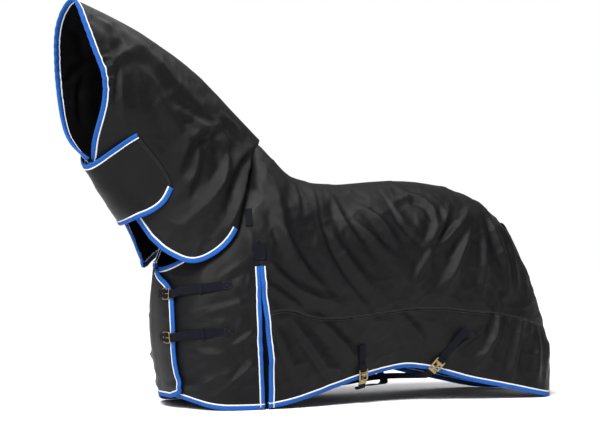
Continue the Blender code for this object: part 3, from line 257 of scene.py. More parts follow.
MIRROR = np.array((1.0, -1.0, 1.0))
TO_MIDDLE_PLANE = np.array((1.0, 0.0, 1.0))
TO_ORIGIN = np.array((-BODY_CENTRE_X, 0.0, 0.0))


def body_net():
    near = np.array(BODY_STATIONS, dtype=float) * MIRROR
    before = []
    for i, station in enumerate(near):
        if i in RIDGE_STATIONS:
            before.append(station[1] * MIRROR)
        else:
            before.append(2.0 * station[0] - station[1])
    near = np.concatenate([np.array(before)[:, None], near], axis=1)
    near = np.concatenate([near[1:2] * MIRROR, near, near[-2:-1] * MIRROR], axis=0)
    run = distances(near[:, 5])
    return Net(near, (run - run[1]) / (run[-2] - run[1]), np.arange(-1, 7) / 6.0), run[-2] - run[1]


BODY, BODY_RUN = body_net()
SLIT_U = float(BODY.u_knots[SLIT_STATION + 1])
WITHERS_U = float(BODY.u_knots[RIDGE_STATIONS[0] + 1])


def neck_net(changes):
    half = np.array(NECK_STATIONS, dtype=float)
    for key, point in changes.items():
        half[key] = point
    half = np.concatenate([(half[:, 1] * MIRROR)[:, None], half], axis=1)
    return Net(half, np.arange(6) / 5.0, np.arange(-1, 7) / 6.0)


NECK = {-1: neck_net({}), 1: neck_net(NECK_OFF_CHANGES)}
TAIL = Net(TAIL_FLAP_ROWS, np.arange(4) / 3.0, np.arange(5) / 4.0)


def smooth(a):
    a = np.clip(a, 0.0, 1.0)
    return a * a * (3.0 - 2.0 * a)


def run_u(metres):
    return metres / BODY_RUN


def body_at(w, v, side):
    w, v = paired(w, v)
    u = np.abs(w)
    p = BODY.at(u, v)
    on_ridge = u >= WITHERS_U - 1e-9
    drift = BODY.at(u, 0.0 * v)[..., 1] * np.clip(1.0 - v / 0.25, 0.0, None) ** 2
    p[..., 1] -= np.where(on_ridge, drift, 0.0)
    p[..., 1] *= np.where(w < 0, -1.0, 1.0) * (-side)
    return np.where(np.isnan(p), 0.0, p) + TO_ORIGIN


def neck_at(s, t, side):
    p = NECK[side].at(s, t)
    y = side * p[..., 1]
    angle = NECK_TURN * smooth((NECK_PIVOT_X - p[..., 0]) / NECK_TURN_LENGTH)
    dx = p[..., 0] - NECK_PIVOT_X
    x2 = NECK_PIVOT_X + dx * np.cos(angle) - y * np.sin(angle)
    y2 = dx * np.sin(angle) + y * np.cos(angle)
    return np.stack([x2, y2, p[..., 2]], axis=-1) + TO_ORIGIN


TAIL_FLAP_SHARE = 0.52


def tail_at(p, q, side):
    return TAIL.at(p, 0.5 + (q - 0.5) * TAIL_FLAP_SHARE) + TO_ORIGIN


def unit(v):
    return v / np.maximum(np.linalg.norm(v, axis=-1, keepdims=True), 1e-12)


FLIPPED = ("tail_at", "flap_at", "tail_cloth", "flap_cloth")
STEP = 4e-4


def slopes(surface, a, b, side):
    pa = (surface(a + STEP, b, side) - surface(a - STEP, b, side)) / (2 * STEP)
    pb = (surface(a, b + STEP, side) - surface(a, b - STEP, side)) / (2 * STEP)
    return pa, pb


def normal(surface, a, b, side):
    """Outward unit normal, which on the ridge lies in the middle plane."""
    a, b = paired(a, b)
    on_body = surface.__name__.startswith("body")
    ridge = (b < 0.012) & (a >= WITHERS_U - 1e-9) if on_body else np.zeros(a.shape, bool)
    safe_a = np.where(ridge, np.minimum(a + 2 * STEP, 0.995), a)
    pa, pb = slopes(surface, safe_a, np.where(ridge, 0.02, b), side)
    n = unit(np.cross(pb, pa)) * (-side)
    if surface.__name__ in FLIPPED:
        n = -n
    n[..., 1] = np.where(ridge, n[..., 1] * np.clip(b / 0.02, 0.0, 1.0), n[..., 1])
    return unit(n)


# ---------------------------------------------------------------- folds
# Each fold is a crest line in side view (x, z), with its width ahead of and behind the line and its height.
NECK_FOLDS = (
    (((-1.10, 1.44), (-1.02, 1.51), (-0.93, 1.56)), 0.022, 0.030, 0.007),
    (((-1.00, 1.48), (-1.02, 1.36), (-1.00, 1.24)), 0.034, 0.016, 0.011),
    (((-1.12, 1.49), (-1.05, 1.51)), 0.010, 0.010, 0.004),
    (((-1.12, 1.45), (-1.05, 1.46)), 0.010, 0.010, 0.004),
    (((-1.12, 1.41), (-1.05, 1.41)), 0.010, 0.010, 0.004),
    (((-1.11, 1.37), (-1.05, 1.36)), 0.010, 0.010, 0.004),
    (((-0.50, 1.24), (-0.70, 1.15), (-0.74, 1.02)), 0.026, 0.040, 0.012),
    (((-0.50, 1.23), (-0.49, 1.12), (-0.59, 0.92), (-0.72, 0.79)), 0.026, 0.040, 0.014),
    (((-0.28, 1.17), (-0.45, 1.06), (-0.57, 0.87), (-0.66, 0.77)), 0.024, 0.042, 0.015),
    (((-0.32, 1.12), (-0.42, 0.96), (-0.53, 0.78)), 0.022, 0.034, 0.010),
    (((-0.64, 1.13), (-0.67, 1.01), (-0.80, 0.87)), 0.022, 0.030, 0.008),
    (((-0.88, 1.46), (-0.80, 1.30), (-0.70, 1.15)), 0.050, 0.040, 0.008),
    (((-1.09, 1.67), (-1.03, 1.63), (-1.01, 1.54)), 0.020, 0.026, 0.006),
    (((-0.47, 1.29), (-0.37, 1.21)), 0.022, 0.030, 0.008),
    (((-0.95, 1.62), (-0.82, 1.50), (-0.62, 1.33)), 0.030, 0.040, 0.006),
    (((-0.76, 1.30), (-0.60, 1.22), (-0.50, 1.10)), 0.030, 0.024, 0.006),
)
BODY_FOLDS = (
    (((-0.05, 0.97), (-0.09, 0.81), (-0.05, 0.66), (0.14, 0.43)), 0.012, 0.060, 0.015),
    (((0.08, 0.83), (0.17, 0.74), (0.27, 0.65)), 0.020, 0.030, 0.010),
    (((0.14, 0.89), (0.23, 0.81), (0.29, 0.70)), 0.018, 0.026, 0.009),
    (((-0.04, 0.77), (0.04, 0.65), (0.16, 0.52)), 0.024, 0.040, 0.009),
    (((0.03, 0.93), (0.05, 0.81), (0.12, 0.70)), 0.022, 0.030, 0.008),
    (((0.30, 0.95), (0.33, 0.83), (0.43, 0.72)), 0.034, 0.012, 0.013),
    (((0.33, 0.91), (0.45, 0.93), (0.51, 0.87), (0.45, 0.73)), 0.024, 0.022, 0.013),
    (((0.73, 0.89), (0.60, 0.78), (0.42, 0.63), (0.35, 0.46)), 0.040, 0.018, 0.016),
    (((0.70, 0.79), (0.62, 0.67), (0.52, 0.48)), 0.030, 0.026, 0.011),
    (((0.62, 0.90), (0.52, 0.78), (0.42, 0.66)), 0.020, 0.026, 0.009),
    (((0.84, 0.89), (0.85, 0.74), (0.88, 0.61), (0.88, 0.47)), 0.034, 0.022, 0.012),
    (((0.93, 0.80), (0.95, 0.67), (0.94, 0.50)), 0.024, 0.022, 0.008),
    (((0.77, 0.80), (0.76, 0.66), (0.72, 0.48)), 0.028, 0.022, 0.008),
    (((-0.27, 1.00), (-0.26, 0.73), (-0.15, 0.46)), 0.030, 0.040, 0.008),
    (((-0.14, 0.99), (-0.18, 0.86)), 0.012, 0.028, 0.009),
    (((-0.36, 0.64), (-0.23, 0.53), (0.02, 0.45)), 0.022, 0.034, 0.009),
    (((-0.37, 0.55), (-0.19, 0.43)), 0.018, 0.026, 0.007),
    (((-0.30, 0.82), (-0.20, 0.64), (-0.05, 0.48)), 0.020, 0.036, 0.009),
    (((-0.34, 0.38), (-0.28, 0.26), (-0.21, 0.12)), 0.034, 0.016, 0.012),
    (((-0.24, 0.39), (-0.15, 0.27), (0.01, 0.10)), 0.040, 0.018, 0.012),
    (((-0.11, 0.39), (0.05, 0.25), (0.13, 0.16)), 0.026, 0.034, 0.008),
    (((0.74, 0.33), (0.64, 0.26), (0.56, 0.20)), 0.020, 0.026, 0.007),
    (((0.84, 0.47), (0.80, 0.28), (0.68, 0.12)), 0.030, 0.024, 0.012),
    (((0.96, 0.38), (0.92, 0.21), (0.88, 0.05)), 0.026, 0.024, 0.010),
    (((0.30, 0.41), (0.42, 0.30), (0.46, 0.24)), 0.024, 0.030, 0.008),
    (((1.06, 0.33), (1.03, 0.06)), 0.022, 0.022, 0.007),
    (((-0.70, 0.09), (-0.60, 0.13)), 0.020, 0.020, 0.005),
    (((-0.52, 0.12), (-0.42, 0.21)), 0.018, 0.022, 0.007),
    (((-0.68, 0.40), (-0.57, 0.44), (-0.44, 0.47)), 0.018, 0.024, 0.005),
    (((-0.67, 0.25), (-0.56, 0.24)), 0.018, 0.024, 0.005),
    (((-0.52, 0.28), (-0.42, 0.34)), 0.014, 0.020, 0.006),
    (((-0.56, 0.58), (-0.44, 0.66)), 0.016, 0.024, 0.006),
)
FOLD_WIDTH = 0.80
FOLD_RISE = 1.95
FOLD_REACH = 3.4
STEEPEST = 1.1
CREST_POWER = 1.45
VALLEY_DEPTH = 0.35
FOLD_LINES = {}
WAVES = 26
SWELL_LEVEL = 0.8
OFF_FOLD_HEIGHT = 0.85
OFF_SWELL_SHIFT = 7.3


def smooth_line(points, count=14):
    points = np.array(points, dtype=float)
    chord = distances(points)
    return spline_weights(chord, np.linspace(0.0, chord[-1], count)) @ points


def fold_height(x, z, points, ahead, behind, height):
    """Height of one fold: a crest on its line with a shallow valley on each side."""
    if points not in FOLD_LINES:
        FOLD_LINES[points] = smooth_line(points)
    line = FOLD_LINES[points]
    reach = FOLD_REACH * max(ahead, behind)
    low = line.min(axis=0) - reach
    high = line.max(axis=0) + reach
    inside = (x > low[0]) & (x < high[0]) & (z > low[1]) & (z < high[1])
    result = np.zeros_like(x)
    if not inside.any():
        return result
    px = x[inside]
    pz = z[inside]
    best = np.full(px.shape, 1e9)
    ahead_of = np.zeros(px.shape, bool)
    place = np.zeros(px.shape)
    for k in range(len(line) - 1):
        a = line[k]
        d = line[k + 1] - a
        t = np.clip(((px - a[0]) * d[0] + (pz - a[1]) * d[1]) / (d @ d), 0.0, 1.0)
        rx = px - a[0] - t * d[0]
        rz = pz - a[1] - t * d[1]
        distance = np.hypot(rx, rz)
        nearer = distance < best
        best = np.where(nearer, distance, best)
        ahead_of = np.where(nearer, rx * d[1] - rz * d[0] < 0.0, ahead_of)
        place = np.where(nearer, (k + t) / (len(line) - 1), place)
    width = FOLD_WIDTH * np.where(ahead_of, ahead, behind) * (0.75 + 0.5 * place)
    taper = np.sin(np.pi * np.clip(0.04 + 0.92 * place, 0.0, 1.0)) ** 0.7
    crest = np.exp(-(best / width) ** CREST_POWER)
    valley = VALLEY_DEPTH * np.exp(-((best - 2.0 * width) / width) ** 2)
    rise = min(FOLD_RISE * height, STEEPEST * FOLD_WIDTH * min(ahead, behind))
    result[inside] = rise * taper * (crest - valley)
    return result


def ripple(x, z, length, seed):
    """Random soft swell of about that wavelength, mostly between -1 and 1."""
    rng = np.random.default_rng(seed)
    total = np.zeros_like(x)
    for _ in range(WAVES):
        angle = rng.uniform(0.0, math.pi)
        scale = 2.0 * math.pi / (length * rng.uniform(0.6, 1.6))
        phase = rng.uniform(0.0, 2.0 * math.pi)
        total += np.sin(scale * (x * math.cos(angle) + z * math.sin(angle)) + phase)
    return total / math.sqrt(WAVES) * SWELL_LEVEL


def fold_field(points, folds, seed, off_shift):
    """Height of the folds and the swell at points.  The off side has the same folds, shifted and lower."""
    x = points[..., 0]
    z = points[..., 2]
    near = points[..., 1] < 0.0
    shift = np.where(near, 0.0, off_shift)
    share = np.where(near, 1.0, OFF_FOLD_HEIGHT)
    total = np.zeros_like(x)
    for line, ahead, behind, height in folds:
        total += fold_height(x + shift, z + 0.4 * shift, line, ahead, behind, height)
    total *= share
    fx = x + np.where(near, 0.0, OFF_SWELL_SHIFT)
    total += 0.0042 * ripple(fx, z, 0.19, seed) + 0.0011 * ripple(fx, z, 0.060, seed + 1)
    creased = 1.0 - np.abs(ripple(fx, z, 0.15, seed + 2))
    total += 0.0030 * np.clip(creased, 0.0, None) ** 3
    return total


SEAM_LINE = ((0.0, 0.645), (0.20, 0.645), (0.30, 0.695), (0.45, 0.732), (0.60, 0.722),
             (0.75, 0.712), (0.90, 0.702), (1.0, 0.705))
# The cloth is calmer round the buckles and the surcingle tabs: x, z and radius.
QUIET_SPOTS = ((-0.700, 0.500, 0.11), (-0.700, 0.315, 0.11), (0.141, 0.150, 0.08), (0.537, 0.190, 0.08))


PUCKER_PITCH = 0.026
PUCKER_HEIGHT = 0.0011
SEAM_DIP = 0.0022
GATHER_PITCH = 0.034
GATHER_HEIGHT = 0.0016


def body_height(p, w, v):
    """Folds and swell, less where something lies on the cloth or holds it, with the seam's puckers."""
    lift = fold_field(p, BODY_FOLDS, 11, 0.06)
    under_neck = smooth((-0.38 - p[..., 0]) / 0.10) * smooth((p[..., 2] - 0.56) / 0.08)
    lift *= 1.0 - 0.85 * under_neck
    for x, z, radius in QUIET_SPOTS:
        far = np.hypot(p[..., 0] - x, p[..., 2] - z) / radius
        lift *= np.clip(far - 0.35, 0.0, 0.65) / 0.65
    lift *= smooth(np.abs(p[..., 1]) / 0.11)
    lift *= 0.45 + 0.55 * smooth((1.0 - v) / 0.10)
    beyond_slit = smooth((np.abs(w) - SLIT_U) * BODY_RUN / 0.03)
    from_seam = (v - spline_value(SEAM_LINE, np.abs(w))) * 0.95
    run = np.abs(w) * BODY_RUN
    wander = 2.0 * ripple(run, from_seam * 0.0, 0.30, 5)
    pucker = PUCKER_HEIGHT * np.sin(run * 2.0 * math.pi / PUCKER_PITCH + wander)
    lift += beyond_slit * pucker * np.exp(-np.abs(from_seam) / 0.020)
    lift -= beyond_slit * SEAM_DIP * np.exp(-(from_seam / 0.006) ** 2)
    return lift


def off_lift(w):
    """The off side's chest lies over the near side's."""
    return OVERLAP_LIFT * smooth((0.14 - w * BODY_RUN) / 0.11)


def body_cloth(w, v, side):
    w, v = paired(w, v)
    p = body_at(w, v, side)
    height = body_height(p, w, v)
    if side > 0:
        height = height + off_lift(w)
    return p + normal(body_at, w, v, side) * height[..., None]


def neck_cloth(s, t, side):
    s, t = paired(s, t)
    p = neck_at(s, t, side)
    n = normal(neck_at, s, t, side)
    ridge = smooth(t / 0.14)[..., None]
    at_ridge = normal(neck_at, s, t * 0.0 + 1e-4, side) * TO_MIDDLE_PLANE
    n = unit(n * ridge + at_ridge * (1.0 - ridge))
    height = fold_field(p, NECK_FOLDS, 31, 0.05)
    height *= smooth(t / 0.14) * (0.30 + 0.70 * smooth((1.0 - t) / 0.10)) * (0.25 + 0.75 * smooth(s / 0.07))
    beneath_flap = smooth((t - 0.66) / 0.06) * smooth((0.80 - s) / 0.05)
    height *= 1.0 - 0.75 * beneath_flap
    gathers = np.sin(p[..., 2] * 2.0 * math.pi / GATHER_PITCH) * np.exp(-s / 0.035)
    height += GATHER_HEIGHT * (gathers * smooth((0.62 - t) / 0.2) * smooth(t / 0.2))
    return p + n * height[..., None]


# ---------------------------------------------------------------- the throat flap's surface
FLAP_LIFT = 0.0130
FLAP_FRONT_LIFT = 0.022
FLAP_SEW_T = 0.30
FLAP_SEW_SLANT = 0.07
FLAP_SPREAD = ((-1, 1.0), (-1, 0.75), (-1, 0.5), (-1, 0.25), (-1, 0.10),
               (1, 0.10), (1, 0.25), (1, 0.5), (1, 0.75))


def flap_control(side, a, p):
    t = 1.0 - (FLAP_SEW_T - FLAP_SEW_SLANT * p) * a
    s_top = 0.035 + 0.235 * a
    s_low = 0.770 - 0.150 * a
    s = s_top + (s_low - s_top) * p
    lift = FLAP_LIFT + FLAP_FRONT_LIFT * (1.0 - a) ** 3
    return neck_at(s, t, side) + normal(neck_at, s, t, side) * lift


def flap_net():
    rows = np.linspace(0.0, 1.0, 5)
    columns = []
    for side, a in FLAP_SPREAD:
        column = [flap_control(side, a, p) for p in rows]
        if a <= 0.10:
            column = [column[0] + (column[-1] - column[0]) * p for p in rows]
        columns.append(column)
    columns = np.array(columns)
    run = distances(columns[:, 2])
    return Net(columns, run / run[-1], rows)


FLAP = flap_net()
FLAP_HINGE = 0.5 * float(FLAP.u_knots[4] + FLAP.u_knots[5])


def flap_at(u, p, side):
    return FLAP.at(u, p)


def flap_cloth(u, p, side):
    q = flap_at(u, p, side)
    n = normal(flap_at, u, p, side)
    x = q[..., 0]
    z = q[..., 2]
    sewn = smooth(np.asarray(u) / 0.10)
    height = 0.0022 * ripple(x, z, 0.13, 71) * sewn + 0.0007 * ripple(x, z, 0.045, 72) * sewn
    height = height - 0.0090 * (1.0 - smooth(np.asarray(u) / 0.16))
    return q + n * height[..., None]


def tail_cloth(p, q, side):
    base = tail_at(p, q, side)
    n = normal(tail_at, p, q, side)
    swell = 0.0025 * ripple(base[..., 1], base[..., 2], 0.20, 81)
    closer = 0.006 * (1.0 - smooth((np.asarray(p) - 0.5) / 0.4))
    return base + n * (swell * smooth(np.asarray(p) / 0.5) - closer)[..., None]


# ---------------------------------------------------------------- materials
def new_material(name, colour, roughness, specular, metallic=0.0):
    mat = bpy.data.materials.new(name)
    mat.use_nodes = True
    shader = mat.node_tree.nodes["Principled BSDF"]
    shader.inputs["Base Color"].default_value = (*colour, 1.0)
    shader.inputs["Roughness"].default_value = roughness
    shader.inputs["Specular IOR Level"].default_value = specular
    shader.inputs["Metallic"].default_value = metallic
    return mat, shader


class Tree:
    """Short helper for wiring a material's nodes."""

    def __init__(self, mat):
        self.tree = mat.node_tree

    def add(self, kind, inputs=(), **settings):
        node = self.tree.nodes.new(kind)
        for key, value in settings.items():
            setattr(node, key, value)
        for key, value in dict(inputs).items():
            if isinstance(value, bpy.types.NodeSocket):
                self.tree.links.new(value, node.inputs[key])
            else:
                node.inputs[key].default_value = value
        return node

    def maths(self, operation, a, b=0.0):
        return self.add("ShaderNodeMath", {0: a, 1: b}, operation=operation).outputs[0]

    def noise(self, vector, scale, detail=3.0):
        inputs = {"Vector": vector, "Scale": scale, "Detail": detail}
        return self.add("ShaderNodeTexNoise", inputs).outputs["Fac"]

    def link(self, output, socket):
        self.tree.links.new(output, socket)


def thread_wave(tree, axis, pitch):
    return tree.maths("SINE", tree.maths("MULTIPLY", axis, 2.0 * math.pi / pitch))


def woven(name, colour, pitch, depth, roughness, specular, mottle=0.16, ribs=False, use_uv=True):
    """Cloth with a weave in metres: crossed threads, or ribs across a tape, with soft mottling."""
    mat, shader = new_material(name, colour, roughness, specular)
    tree = Tree(mat)
    place = tree.add("ShaderNodeTexCoord")
    source = tree.add("ShaderNodeUVMap", uv_map="metres").outputs[0] if use_uv else place.outputs["Object"]
    split = tree.add("ShaderNodeSeparateXYZ", {0: source})
    along = thread_wave(tree, split.outputs[0], pitch)
    second = split.outputs[1] if use_uv else split.outputs[2]
    across = thread_wave(tree, second, pitch * (3.0 if ribs else 1.0))
    if ribs:
        weave = tree.maths("ADD", along, tree.maths("MULTIPLY", across, 0.35))
    else:
        weave = tree.maths("MULTIPLY", along, across)
    fuzz = tree.noise(place.outputs["Object"], 900.0, 2.0)
    height = tree.maths("ADD", weave, tree.maths("MULTIPLY", fuzz, 0.8))
    bump = tree.add("ShaderNodeBump", {"Height": height, "Strength": 0.55, "Distance": depth})
    tree.link(bump.outputs[0], shader.inputs["Normal"])
    patches = tree.noise(place.outputs["Object"], 7.0, 5.0)
    fine = tree.noise(place.outputs["Object"], 160.0, 2.0)
    shade = tree.maths("ADD", tree.maths("MULTIPLY", patches, 2.0 * mottle),
                       tree.maths("MULTIPLY", fine, mottle))
    shade = tree.maths("ADD", shade, 1.0 - 1.5 * mottle)
    shade = tree.maths("ADD", shade, tree.maths("MULTIPLY", weave, 0.06))
    tint = tree.add("ShaderNodeMix", data_type="RGBA", blend_type="MULTIPLY")
    tint.inputs["Factor"].default_value = 1.0
    tint.inputs["A"].default_value = (*colour, 1.0)
    grey = tree.add("ShaderNodeCombineColor", {0: shade, 1: shade, 2: shade})
    tree.link(grey.outputs[0], tint.inputs["B"])
    tree.link(tint.outputs["Result"], shader.inputs["Base Color"])
    worn = tree.add("ShaderNodeMapRange", {"Value": patches, "To Min": roughness - 0.07,
                                           "To Max": roughness + 0.07})
    tree.link(worn.outputs[0], shader.inputs["Roughness"])
    return mat


def polished(name, colour, roughness):
    mat, shader = new_material(name, colour, roughness, 0.5, 1.0)
    tree = Tree(mat)
    place = tree.add("ShaderNodeTexCoord").outputs["Object"]
    dull = tree.noise(place, 120.0, 4.0)
    worn = tree.add("ShaderNodeMapRange", {"Value": dull, "To Min": roughness - 0.08,
                                           "To Max": roughness + 0.14})
    tree.link(worn.outputs[0], shader.inputs["Roughness"])
    bump = tree.add("ShaderNodeBump", {"Height": tree.noise(place, 700.0), "Strength": 0.12,
                                       "Distance": 0.0002})
    tree.link(bump.outputs[0], shader.inputs["Normal"])
    return mat


BLACK = (0.0500, 0.0500, 0.0530)
NAVY = (0.0030, 0.0033, 0.0068)
MATERIALS = {
    "shell": woven("outer_fabric", (0.0044, 0.0044, 0.0050), 0.0016, 0.00022, 0.42, 0.135),
    "lining": woven("lining_fabric", (0.0020, 0.0020, 0.0024), 0.0012, 0.00012, 0.70, 0.05),
    "blue": woven("blue_tape", (0.012, 0.082, 0.330), 0.0014, 0.00030, 0.62, 0.12, 0.10, True),
    "white": woven("white_trim", (0.620, 0.640, 0.680), 0.0014, 0.00020, 0.70, 0.10, 0.04, True),
    "webbing": woven("webbing", NAVY, 0.0026, 0.00060, 0.62, 0.10, 0.14, True),
    "webbing_object": woven("webbing_plain", NAVY, 0.0026, 0.00060, 0.62, 0.10, 0.14, True, False),
    "thread": woven("black_thread", BLACK, 0.0010, 0.00010, 0.55, 0.30, 0.1, False, False),
    "blue_thread": woven("blue_thread", (0.030, 0.150, 0.520), 0.0010, 0.00010, 0.55, 0.20, 0.1,
                         False, False),
    "pile": woven("hook_and_loop", (0.0040, 0.0040, 0.0045), 0.0022, 0.00080, 0.90, 0.05, 0.20,
                  False, False),
    "brass": polished("brass", (0.300, 0.225, 0.110), 0.36),
}


# ---------------------------------------------------------------- mesh helpers
def make_piece(name, verts, faces, finish, uv=None):
    mesh = bpy.data.meshes.new(name)
    mesh.from_pydata(np.asarray(verts).tolist(), [], [list(map(int, f)) for f in faces])
    mesh.update()
    if uv is not None:
        layer = mesh.uv_layers.new(name="metres")
        layer.data.foreach_set("uv", np.asarray(uv, dtype=np.float32).ravel())
    mesh.polygons.foreach_set("use_smooth", np.ones(len(mesh.polygons), bool))
    mesh.materials.append(MATERIALS[finish])
    obj = bpy.data.objects.new(name, mesh)
    bpy.context.scene.collection.objects.link(obj)
    return obj


def outward(obj):
    """Turns a closed mesh right side out."""
    mesh = obj.data
    mesh.calc_loop_triangles()
    tris = np.zeros(len(mesh.loop_triangles) * 3, int)
    mesh.loop_triangles.foreach_get("vertices", tris)
    co = np.zeros(len(mesh.vertices) * 3)
    mesh.vertices.foreach_get("co", co)
    a, b, c = co.reshape(-1, 3)[tris.reshape(-1, 3)].transpose(1, 0, 2)
    if np.einsum("ij,ij->", a, np.cross(b, c)) < 0.0:
        mesh.flip_normals()
    return obj


def grid_normals(points, like):
    """Normals of a grid of points, pointing the way of the rough normals given."""
    a = np.gradient(points, axis=0)
    b = np.gradient(points, axis=1)
    n = unit(np.cross(a, b))
    flip = np.sign(np.einsum("ijk,ijk->ij", n, like))
    flip[flip == 0] = 1.0
    return n * flip[..., None]


class Cloth:
    """Grids welded where they share points, then made into a closed sheet with two faces."""

    def __init__(self):
        self.grids = []

    def add(self, points, normals, uv):
        self.grids.append((points, normals, uv))
        return self

    def build(self, name, outer, inner, finish):
        points = np.concatenate([g[0].reshape(-1, 3) for g in self.grids])
        normals = np.concatenate([g[1].reshape(-1, 3) for g in self.grids])
        uv = np.concatenate([g[2].reshape(-1, 2) for g in self.grids])
        quads = []
        start = 0
        for grid, _, _ in self.grids:
            ni, nj = grid.shape[:2]
            ids = start + np.arange(ni * nj).reshape(ni, nj)
            corners = [ids[:-1, :-1], ids[1:, :-1], ids[1:, 1:], ids[:-1, 1:]]
            quads.append(np.stack(corners, axis=-1).reshape(-1, 4))
            start += ni * nj
        quads = np.concatenate(quads)
        _, first, weld = np.unique(np.round(points, 5), axis=0, return_index=True, return_inverse=True)
        weld = weld.ravel()
        count = len(first)
        mean = np.zeros((count, 3))
        np.add.at(mean, weld, normals)
        mean = unit(mean)
        base = points[first]
        face = weld[quads]
        a = base[face[:, 1]] - base[face[:, 0]]
        b = base[face[:, 3]] - base[face[:, 0]]
        turned = np.einsum("ij,ij->i", np.cross(a, b), mean[face[:, 0]]) < 0.0
        face[turned] = face[turned][:, ::-1]
        quads[turned] = quads[turned][:, ::-1]
        edges = np.concatenate([face[:, [k, (k + 1) % 4]] for k in range(4)])
        key = edges[:, 0].astype(np.int64) * count + edges[:, 1]
        back = edges[:, 1].astype(np.int64) * count + edges[:, 0]
        rim = edges[~np.isin(key, back)]
        rim = rim[rim[:, 0] != rim[:, 1]]
        verts = np.concatenate([base + mean * outer, base + mean * inner])
        sides = np.stack([rim[:, 1], rim[:, 0], rim[:, 0] + count, rim[:, 1] + count], axis=-1)
        faces = np.concatenate([face, face[:, ::-1] + count, sides])
        rim_uv = uv[first][rim[:, [1, 0, 0, 1]]]
        loops = np.concatenate([uv[quads], uv[quads[:, ::-1]], rim_uv])
        clean = [list(dict.fromkeys(f)) for f in faces.tolist()]
        if all(len(f) == 4 for f in clean):
            return make_piece(name, verts, faces, finish, loops)
        keep = [k for k, f in enumerate(clean) if len(f) > 2]
        flat_uv = []
        for k in keep:
            seen = set()
            for corner, vertex in enumerate(faces[k].tolist()):
                if vertex not in seen:
                    seen.add(vertex)
                    flat_uv.append(loops[k][corner])
        return make_piece(name, verts, [clean[k] for k in keep], finish, np.array(flat_uv))


def sweep(name, rings, finish, along=None):
    """Closed ring swept along a path: rings has shape (path, ring, 3)."""
    n, m = rings.shape[:2]
    if along is None:
        along = distances(rings.mean(axis=1))
    around = distances(rings[n // 2])
    around = np.append(around, around[-1] + np.linalg.norm(rings[n // 2, 0] - rings[n // 2, -1]))
    faces = []
    uv = []
    for i in range(n - 1):
        for k in range(m):
            a = i * m + k
            b = i * m + (k + 1) % m
            faces.append((a, b, b + m, a + m))
            uv += [(along[i], around[k]), (along[i], around[k + 1]),
                   (along[i + 1], around[k + 1]), (along[i + 1], around[k])]
    faces.append(tuple(range(m))[::-1])
    faces.append(tuple((n - 1) * m + k for k in range(m)))
    uv += [(0.0, around[k]) for k in range(m)] + [(along[-1], around[k]) for k in range(m)]
    return outward(make_piece(name, rings.reshape(-1, 3), faces, finish, np.array(uv)))


def join_all(name, objects):
    """One object of several of the same finish."""
    first = objects[0]
    with bpy.context.temp_override(active_object=first, selected_objects=objects,
                                   selected_editable_objects=objects):
        bpy.ops.object.join()
    first.name = name
    return first


# ---------------------------------------------------------------- tapes, trims and stitches
BLUE_WIDTH = 0.0170
TRIM_OUT = 0.0232
EDGE_SPACING = 0.007


def resample(a, b, surface, side):
    """The same path on the surface with even spacing."""
    points = surface(a, b, side)
    chord = distances(points)
    keep = np.concatenate([[True], np.diff(chord) > 1e-6])
    count = max(4, int(chord[-1] / EDGE_SPACING))
    t = np.linspace(0.0, chord[-1], count)
    return np.interp(t, chord[keep], a[keep]), np.interp(t, chord[keep], b[keep]), t


STRIP_STEP = 0.0045
STRIP_ROWS = 7


class Edge:
    """A path along a panel's edge, with the way inward over the surface."""

    def __init__(self, surface, side, a, b, inner_a, inner_b):
        a, b, self.run = resample(np.asarray(a, float), np.asarray(b, float), surface, side)
        points = surface(a, b, side)
        normals = normal(surface, a, b, side)
        inward = unit(np.cross(normals, unit(np.gradient(points, axis=0))))
        goal = surface(np.asarray(inner_a, float), np.asarray(inner_b, float), side)
        middle = len(a) // 2
        if np.dot(inward[middle], goal - points[middle]) < 0.0:
            inward = -inward
        self.inward = inward
        pa, pb = slopes(surface, a, b, side)
        aa = np.einsum("ij,ij->i", pa, pa)
        ab = np.einsum("ij,ij->i", pa, pb)
        bb = np.einsum("ij,ij->i", pb, pb)
        ra = np.einsum("ij,ij->i", pa, inward)
        rb = np.einsum("ij,ij->i", pb, inward)
        det = aa * bb - ab * ab
        step_a = (ra * bb - rb * ab) / det
        step_b = (rb * aa - ra * ab) / det
        reach = STRIP_STEP * np.arange(STRIP_ROWS)
        self.strip = surface(a[:, None] + step_a[:, None] * reach, b[:, None] + step_b[:, None] * reach, side)
        self.strip_normals = grid_normals(self.strip, np.repeat(normals[:, None], STRIP_ROWS, axis=1))
        self.normals = self.strip_normals[:, 0]

    def at(self, distance, height):
        """Points at a distance in from the edge and a height over the surface."""
        place = max(distance, 0.0) / STRIP_STEP
        row = min(int(place), STRIP_ROWS - 2)
        share = place - row
        points = self.strip[:, row] * (1.0 - share) + self.strip[:, row + 1] * share
        normals = unit(self.strip_normals[:, row] * (1.0 - share) + self.strip_normals[:, row + 1] * share)
        return points + normals * height - self.inward * max(-distance, 0.0)


def blue_section(depth):
    """Section of a folded tape as (distance in, height), round cloth of that depth."""
    low = -depth
    return ((BLUE_WIDTH, 0.0014), (0.0120, 0.0024), (0.0055, 0.0026), (0.0008, 0.0022), (-0.0018, 0.0004),
            (-0.0026, low / 2), (-0.0018, low - 0.0004), (0.0008, low - 0.0022), (0.0060, low - 0.0026),
            (0.0190, low - 0.0016), (0.0190, low - 0.0004), (0.0, low - 0.0004), (-0.0004, low / 2),
            (0.0, 0.0004), (BLUE_WIDTH, 0.0004))


WHITE_SECTION = ((BLUE_WIDTH - 0.0008, 0.0004), (BLUE_WIDTH, 0.0022), (0.0190, 0.0032), (0.0214, 0.0028),
                 (TRIM_OUT, 0.0006), (0.0200, 0.0004))
STITCH_PITCH = 0.0046
STITCH_LENGTH = 0.0031
STITCH_HALF = 0.00045
SEAM_STITCH_HALF = 0.00060


